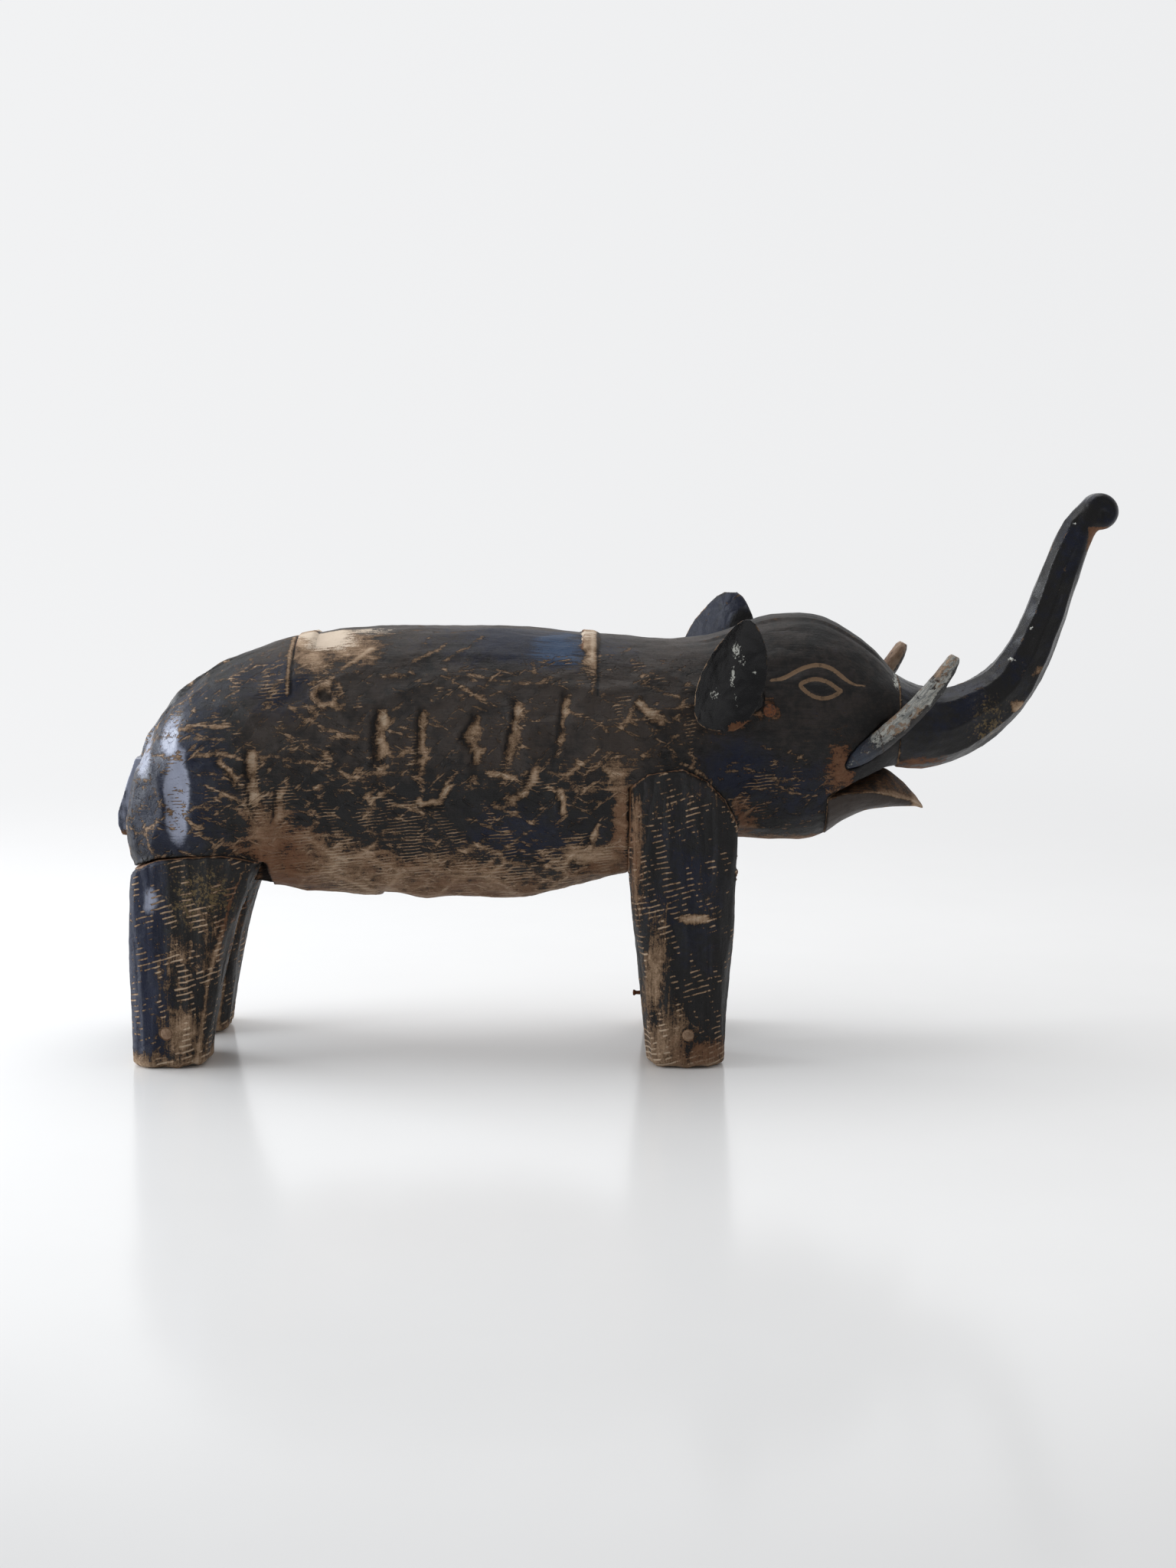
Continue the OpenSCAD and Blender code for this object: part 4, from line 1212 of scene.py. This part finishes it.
    shine = t.ramp(t.total((0.9, gloss_and_painted_highlight), (0.5, medium), -0.20), 0.05, 0.85)
    paint_rough = t.total((1.0, t.blend(shine, 0.46, 0.20)), (0.35, fine), -0.12)
    roughness = t.blend(t.math("MAXIMUM", worn, line), paint_rough, 0.68)
    bowls = t.ramp(edge, 0.0, 0.35, 1.0, 0.0)
    height = t.total((0.30, fine), (0.55, medium), (-0.45, worn), (0.45, streaks), (0.6, fleck_mask),
                     (0.9, bowls), (-0.35, hatch), (-0.5, gouges))
    height = t.math("MULTIPLY", height, t.ramp(gloss_and_painted_highlight, 0.2, 0.9, 1.0, 0.35))
    return t.finish(t.surface(colour, roughness, height, 0.0012, specular=0.30))


def bare_wood_material(name, grain, reddish):
    """Plain turned or split wood, as in the dowels, pegs and plugs."""
    t = Nodes(bpy.data.materials.new(name))
    streaks = t.noise(grain, 5.0, 0.68, 0.4)
    fine = t.noise(0.9, 4.0)
    wear = t.total((0.75, streaks), (0.35, fine), 0.12)
    stain = t.ramp(t.noise(0.15, 3.0), 0.35, 0.7, 0.5 * reddish, reddish)
    colour = t.mix(stain, t.wood_ramp(wear), RED_BROWN)
    height = t.total((0.6, streaks), (0.4, fine))
    return t.finish(t.surface(colour, t.total((0.25, fine), 0.5), height, 0.0004))


def tusk_material(name):
    """Streaked grey-white paint that has chipped down to dark blue and to tan wood."""
    t = Nodes(bpy.data.materials.new(name))
    bare, navy, red = t.masks(0)
    _, _, soiling_and_painted_shade = t.masks(1)
    chips, _, _ = t.masks(4)
    at = t.turned(math.radians(45))
    streaks = t.noise((0.10, 0.75, 0.75), 6.0, 0.70, 0.4, at=at)
    broad = t.noise((0.05, 0.30, 0.30), 4.0, 0.6, 0.4, at=at)
    fine = t.noise(0.95, 5.0, 0.68)
    medium = t.noise(0.30, 4.0, 0.6)
    tone = t.total((0.9, streaks), (0.5, broad), (0.3, fine), -0.35)
    paint = t.mix(t.ramp(tone, 0.40, 0.53), GREY_PAINT, IVORY)
    paint = t.mix(t.ramp(tone, 0.54, 0.66), paint, WHITE_PAINT)
    wear = t.total((0.55, bare), (0.7, medium), (0.7, streaks), (0.3, fine), -0.42)
    worn = t.ramp(wear, 0.55, 0.64)
    reddish = t.total((0.8, red), (0.5, medium), -0.25)
    wood = t.mix(t.ramp(reddish, 0.2, 0.8, 0.0, 0.7), t.wood_ramp(wear), RED_BROWN)
    colour = t.mix(worn, paint, wood)
    flaked = t.total((0.8, chips), (0.9, medium), (0.8, fine), (0.9, streaks), -1.27)
    chip = t.ramp(flaked, 0.38, 0.44)
    dark = t.mix(navy, SOOT_BLACK_AND_SHADE, TUSK_BLUE)
    colour = t.mix(t.math("MULTIPLY", chip, 0.96), colour, dark)
    # Soiling, and painted shade at the root and in hollows
    tusk_soiling_and_shade = t.total((0.8, soiling_and_painted_shade), (0.6, fine), -0.30)
    colour = t.mix(t.ramp(tusk_soiling_and_shade, 0.30, 0.8, 0.0, 0.85), colour, TUSK_SOILING_AND_SHADE)
    height = t.total((0.6, streaks), (0.5, fine), (-0.8, chip), (-0.3, worn))
    return t.finish(t.surface(colour, t.total((0.35, fine), 0.30), height, 0.0008))


def iron_material(name):
    """Dark iron with rust on it."""
    t = Nodes(bpy.data.materials.new(name))
    fine = t.noise(1.6, 4.0, 0.7)
    patch = t.noise(0.5, 3.0)
    colour = t.mix(t.ramp(t.total((0.6, fine), (0.6, patch)), 0.45, 0.68), IRON, RUST)
    return t.finish(t.surface(colour, t.total((0.3, fine), 0.5), fine, 0.0004, metallic=0.25))


# ---------------------------------------------------------------- small pieces

def carve_plug(name, side):
    """A round wooden peg whose end shows in a leg, uneven and a little proud."""
    plug = Piece(name, 0.6, smoothing=2)
    p = plug.p
    low, high = p.min(axis=0), p.max(axis=0)
    middle = (low + high) / 2
    r = np.hypot(p[:, 0] - middle[0], p[:, 2] - middle[2])
    end = step_up(p[:, 1] * side, 74.5, 76.5)
    p[:, 1] -= side * end * (0.2 + 0.5 * (r / 4) ** 2 + 0.25 * noise(p, 2.2, 801))
    plug.masks["red"] = 0.6 * np.ones(len(p)) if "front" in name else 0.1 * np.ones(len(p))
    return plug


def carve_nail(name):
    """A hand-made nail with an uneven head."""
    nail = Piece(name, 0.45, smoothing=2)
    nail.covered = np.zeros(len(nail.p))
    nail.push(0.18 * noise(nail.p, 1.6, 811) - 0.05)
    return nail


# ---------------------------------------------------------------- assembly

def build_figure():
    log_paint = painted_wood("log_paint", grain=(0.035, 0.60, 0.60), ridge_cells=(0.016, 0.040, 0.046),
                             waver=14, hatch_gap=2.3, hatch_length=26, lean=0.10)
    leg_paint = painted_wood("leg_paint", grain=(0.55, 0.55, 0.035), ridge_cells=(0.085, 0.085, 0.012),
                             waver=5, hatch_gap=3.9, hatch_length=17, lean=0.26, crests=0.3, cuts=0.44)
    trunk_paint = painted_wood("trunk_paint", grain=(0.12, 0.45, 0.12), ridge_cells=(0.045, 0.060, 0.045),
                               waver=8, hatch_gap=3.0, hatch_length=9, lean=-0.08, patina=-0.5)
    ear_paint = painted_wood("ear_paint", grain=(0.35, 0.35, 0.07), ridge_cells=(0.06, 0.06, 0.06),
                             waver=8, hatch_gap=3.0, hatch_length=9, lean=-0.06, patina=-0.1)
    peg_wood = bare_wood_material("peg_wood", grain=(0.45, 0.10, 0.45), reddish=0.5)
    dowel_wood = bare_wood_material("dowel_wood", grain=(0.30, 0.30, 0.30), reddish=0.1)
    tusk_paint = tusk_material("tusk_paint")
    rusty_iron = iron_material("rusty_iron")

    jobs = [(carve_body(), log_paint, "black_paint"), (carve_trunk(), trunk_paint, "black_paint"),
            (carve_jaw(), log_paint, "worn_patina"), (carve_tail(), leg_paint, "worn_patina")]
    for side, word in SIDES.items():
        for rear, end in ((0, "front"), (1, "rear")):
            jobs.append((carve_leg(f"{end}_{word}_leg", rear, side), leg_paint, "black_paint"))
            jobs.append((carve_plug(f"{end}_{word}_foot_plug", side), peg_wood, "bare_wood"))
        jobs.append((carve_ear(f"{word}_ear", side), ear_paint, "black_paint"))
        jobs.append((carve_tusk(f"{word}_tusk", side), tusk_paint, "tusk_paint"))
        jobs.append((carve_nail(f"{word}_ear_nail"), rusty_iron, "rusty_iron"))
    jobs.append((carve_nail("leg_nail"), rusty_iron, "rusty_iron"))

    low = np.array(CAD_BOX[0]) * MM
    high = np.array(CAD_BOX[1]) * MM
    for piece, material, slot in jobs:
        piece.finish(material, slot, low, high)
    for name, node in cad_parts.items():
        if node.hide_render:
            continue
        node.data.materials.clear()
        node.data.materials.append(rusty_iron if name == "tail_pin" else dowel_wood)


# ---------------------------------------------------------------- floor, light and camera

# The room's brightness in front of the figure and behind it, and the floor
ROOM_FRONT = 0.40
ROOM_BACK = 0.88
FLOOR_HALF = 30.0
FLOOR_LOW = (0.85, 0.845, 0.84)
FLOOR_HIGH = (0.88, 0.875, 0.87)
# The distances between which the floor fades into the room's light
FADE_FROM = 0.45
FADE_TO = 1.7
ROOM_COLOUR = (0.985, 0.99, 1.0)
WINDOW_AT = (-1.75, 0.10, 0.58)
WINDOW_POWER = 30
WINDOW_COLOUR = (0.90, 0.95, 1.0)
CEILING_AT = (-0.1, 0.3, 1.9)
CEILING_POWER = 14
LIT_POINT = (0.0, 0.0, 0.2)
CAMERA_AT = (-0.0187, -1.7152, 0.4360)
CAMERA_PITCH = 8.25
CAMERA_LENS = 56.25


def soft_light(name, at, size, power, colour=(1, 1, 1)):
    """A rectangular lamp that faces the figure and isn't seen itself."""
    data = bpy.data.lights.new(name, "AREA")
    data.shape = "RECTANGLE"
    data.size, data.size_y = size
    data.energy = power
    data.color = colour
    lamp = bpy.data.objects.new(name, data)
    bpy.context.scene.collection.objects.link(lamp)
    lamp.location = at
    lamp.visible_camera = False
    lamp.rotation_euler = (Vector(LIT_POINT) - Vector(at)).to_track_quat("-Z", "Y").to_euler()


def room_light(t, direction):
    """Light of the pale room by direction: brightest behind the figure and to its left, dimmer in front."""
    parts = t.new("ShaderNodeSeparateXYZ")
    t.put(parts.inputs[0], direction)
    x, y, z = parts.outputs
    behind = t.ramp(y, -0.9, 0.35, ROOM_FRONT, ROOM_BACK)
    return t.total((1.0, behind), (-0.07, x), (-0.20, t.ramp(z, 0.35, 1.0)))


def build_floor():
    """A smooth pale floor that turns into the room's light with distance, so that no horizon shows."""
    mesh = bpy.data.meshes.new("floor")
    corners = [(-FLOOR_HALF, -FLOOR_HALF, 0), (FLOOR_HALF, -FLOOR_HALF, 0),
               (FLOOR_HALF, FLOOR_HALF, 0), (-FLOOR_HALF, FLOOR_HALF, 0)]
    mesh.from_pydata(corners, [], [(0, 1, 2, 3)])
    floor = bpy.data.objects.new("floor", mesh)
    bpy.context.scene.collection.objects.link(floor)
    t = Nodes(bpy.data.materials.new("pale_floor"))
    colour = t.mix(t.noise(0.01, 3.0), FLOOR_LOW, FLOOR_HIGH)
    polished = t.surface(colour, 0.16, t.noise(0.4, 2.0), 0.00001, specular=0.35)
    length = t.new("ShaderNodeVectorMath", operation="LENGTH")
    t.put(length.inputs[0], t.place.outputs["Object"])
    direction = t.new("ShaderNodeVectorMath", operation="NORMALIZE")
    t.put(direction.inputs[0], t.place.outputs["Object"])
    glow = t.new("ShaderNodeEmission")
    t.put(glow.inputs["Color"], ROOM_COLOUR)
    t.put(glow.inputs["Strength"], room_light(t, direction.outputs[0]))
    fade = t.new("ShaderNodeMixShader")
    t.put(fade.inputs[0], t.ramp(length.outputs["Value"], FADE_FROM, FADE_TO))
    t.put(fade.inputs[1], polished.outputs[0])
    t.put(fade.inputs[2], glow.outputs[0])
    mesh.materials.append(t.finish(fade))


def build_studio():
    world = bpy.data.worlds.new("pale_room")
    bpy.context.scene.world = world
    t = Nodes(world)
    background = t.new("ShaderNodeBackground")
    t.put(background.inputs["Color"], ROOM_COLOUR)
    t.put(background.inputs["Strength"], room_light(t, t.place.outputs["Generated"]))
    out = t.new("ShaderNodeOutputWorld")
    t.put(out.inputs["Surface"], background.outputs[0])
    soft_light("window", WINDOW_AT, (1.6, 1.0), WINDOW_POWER, WINDOW_COLOUR)
    soft_light("ceiling", CEILING_AT, (1.6, 1.4), CEILING_POWER)
    bpy.context.scene.view_settings.view_transform = "Standard"
    bpy.context.scene.view_settings.look = "None"


def build_camera():
    data = bpy.data.cameras.new("camera")
    data.lens = CAMERA_LENS
    data.sensor_width = 36
    data.clip_end = 50
    camera = bpy.data.objects.new("camera", data)
    bpy.context.scene.collection.objects.link(camera)
    camera.location = CAMERA_AT
    camera.rotation_euler = (math.radians(90 - CAMERA_PITCH), 0, 0)
    bpy.context.scene.camera = camera


build_camera()
build_floor()
build_studio()
build_figure()
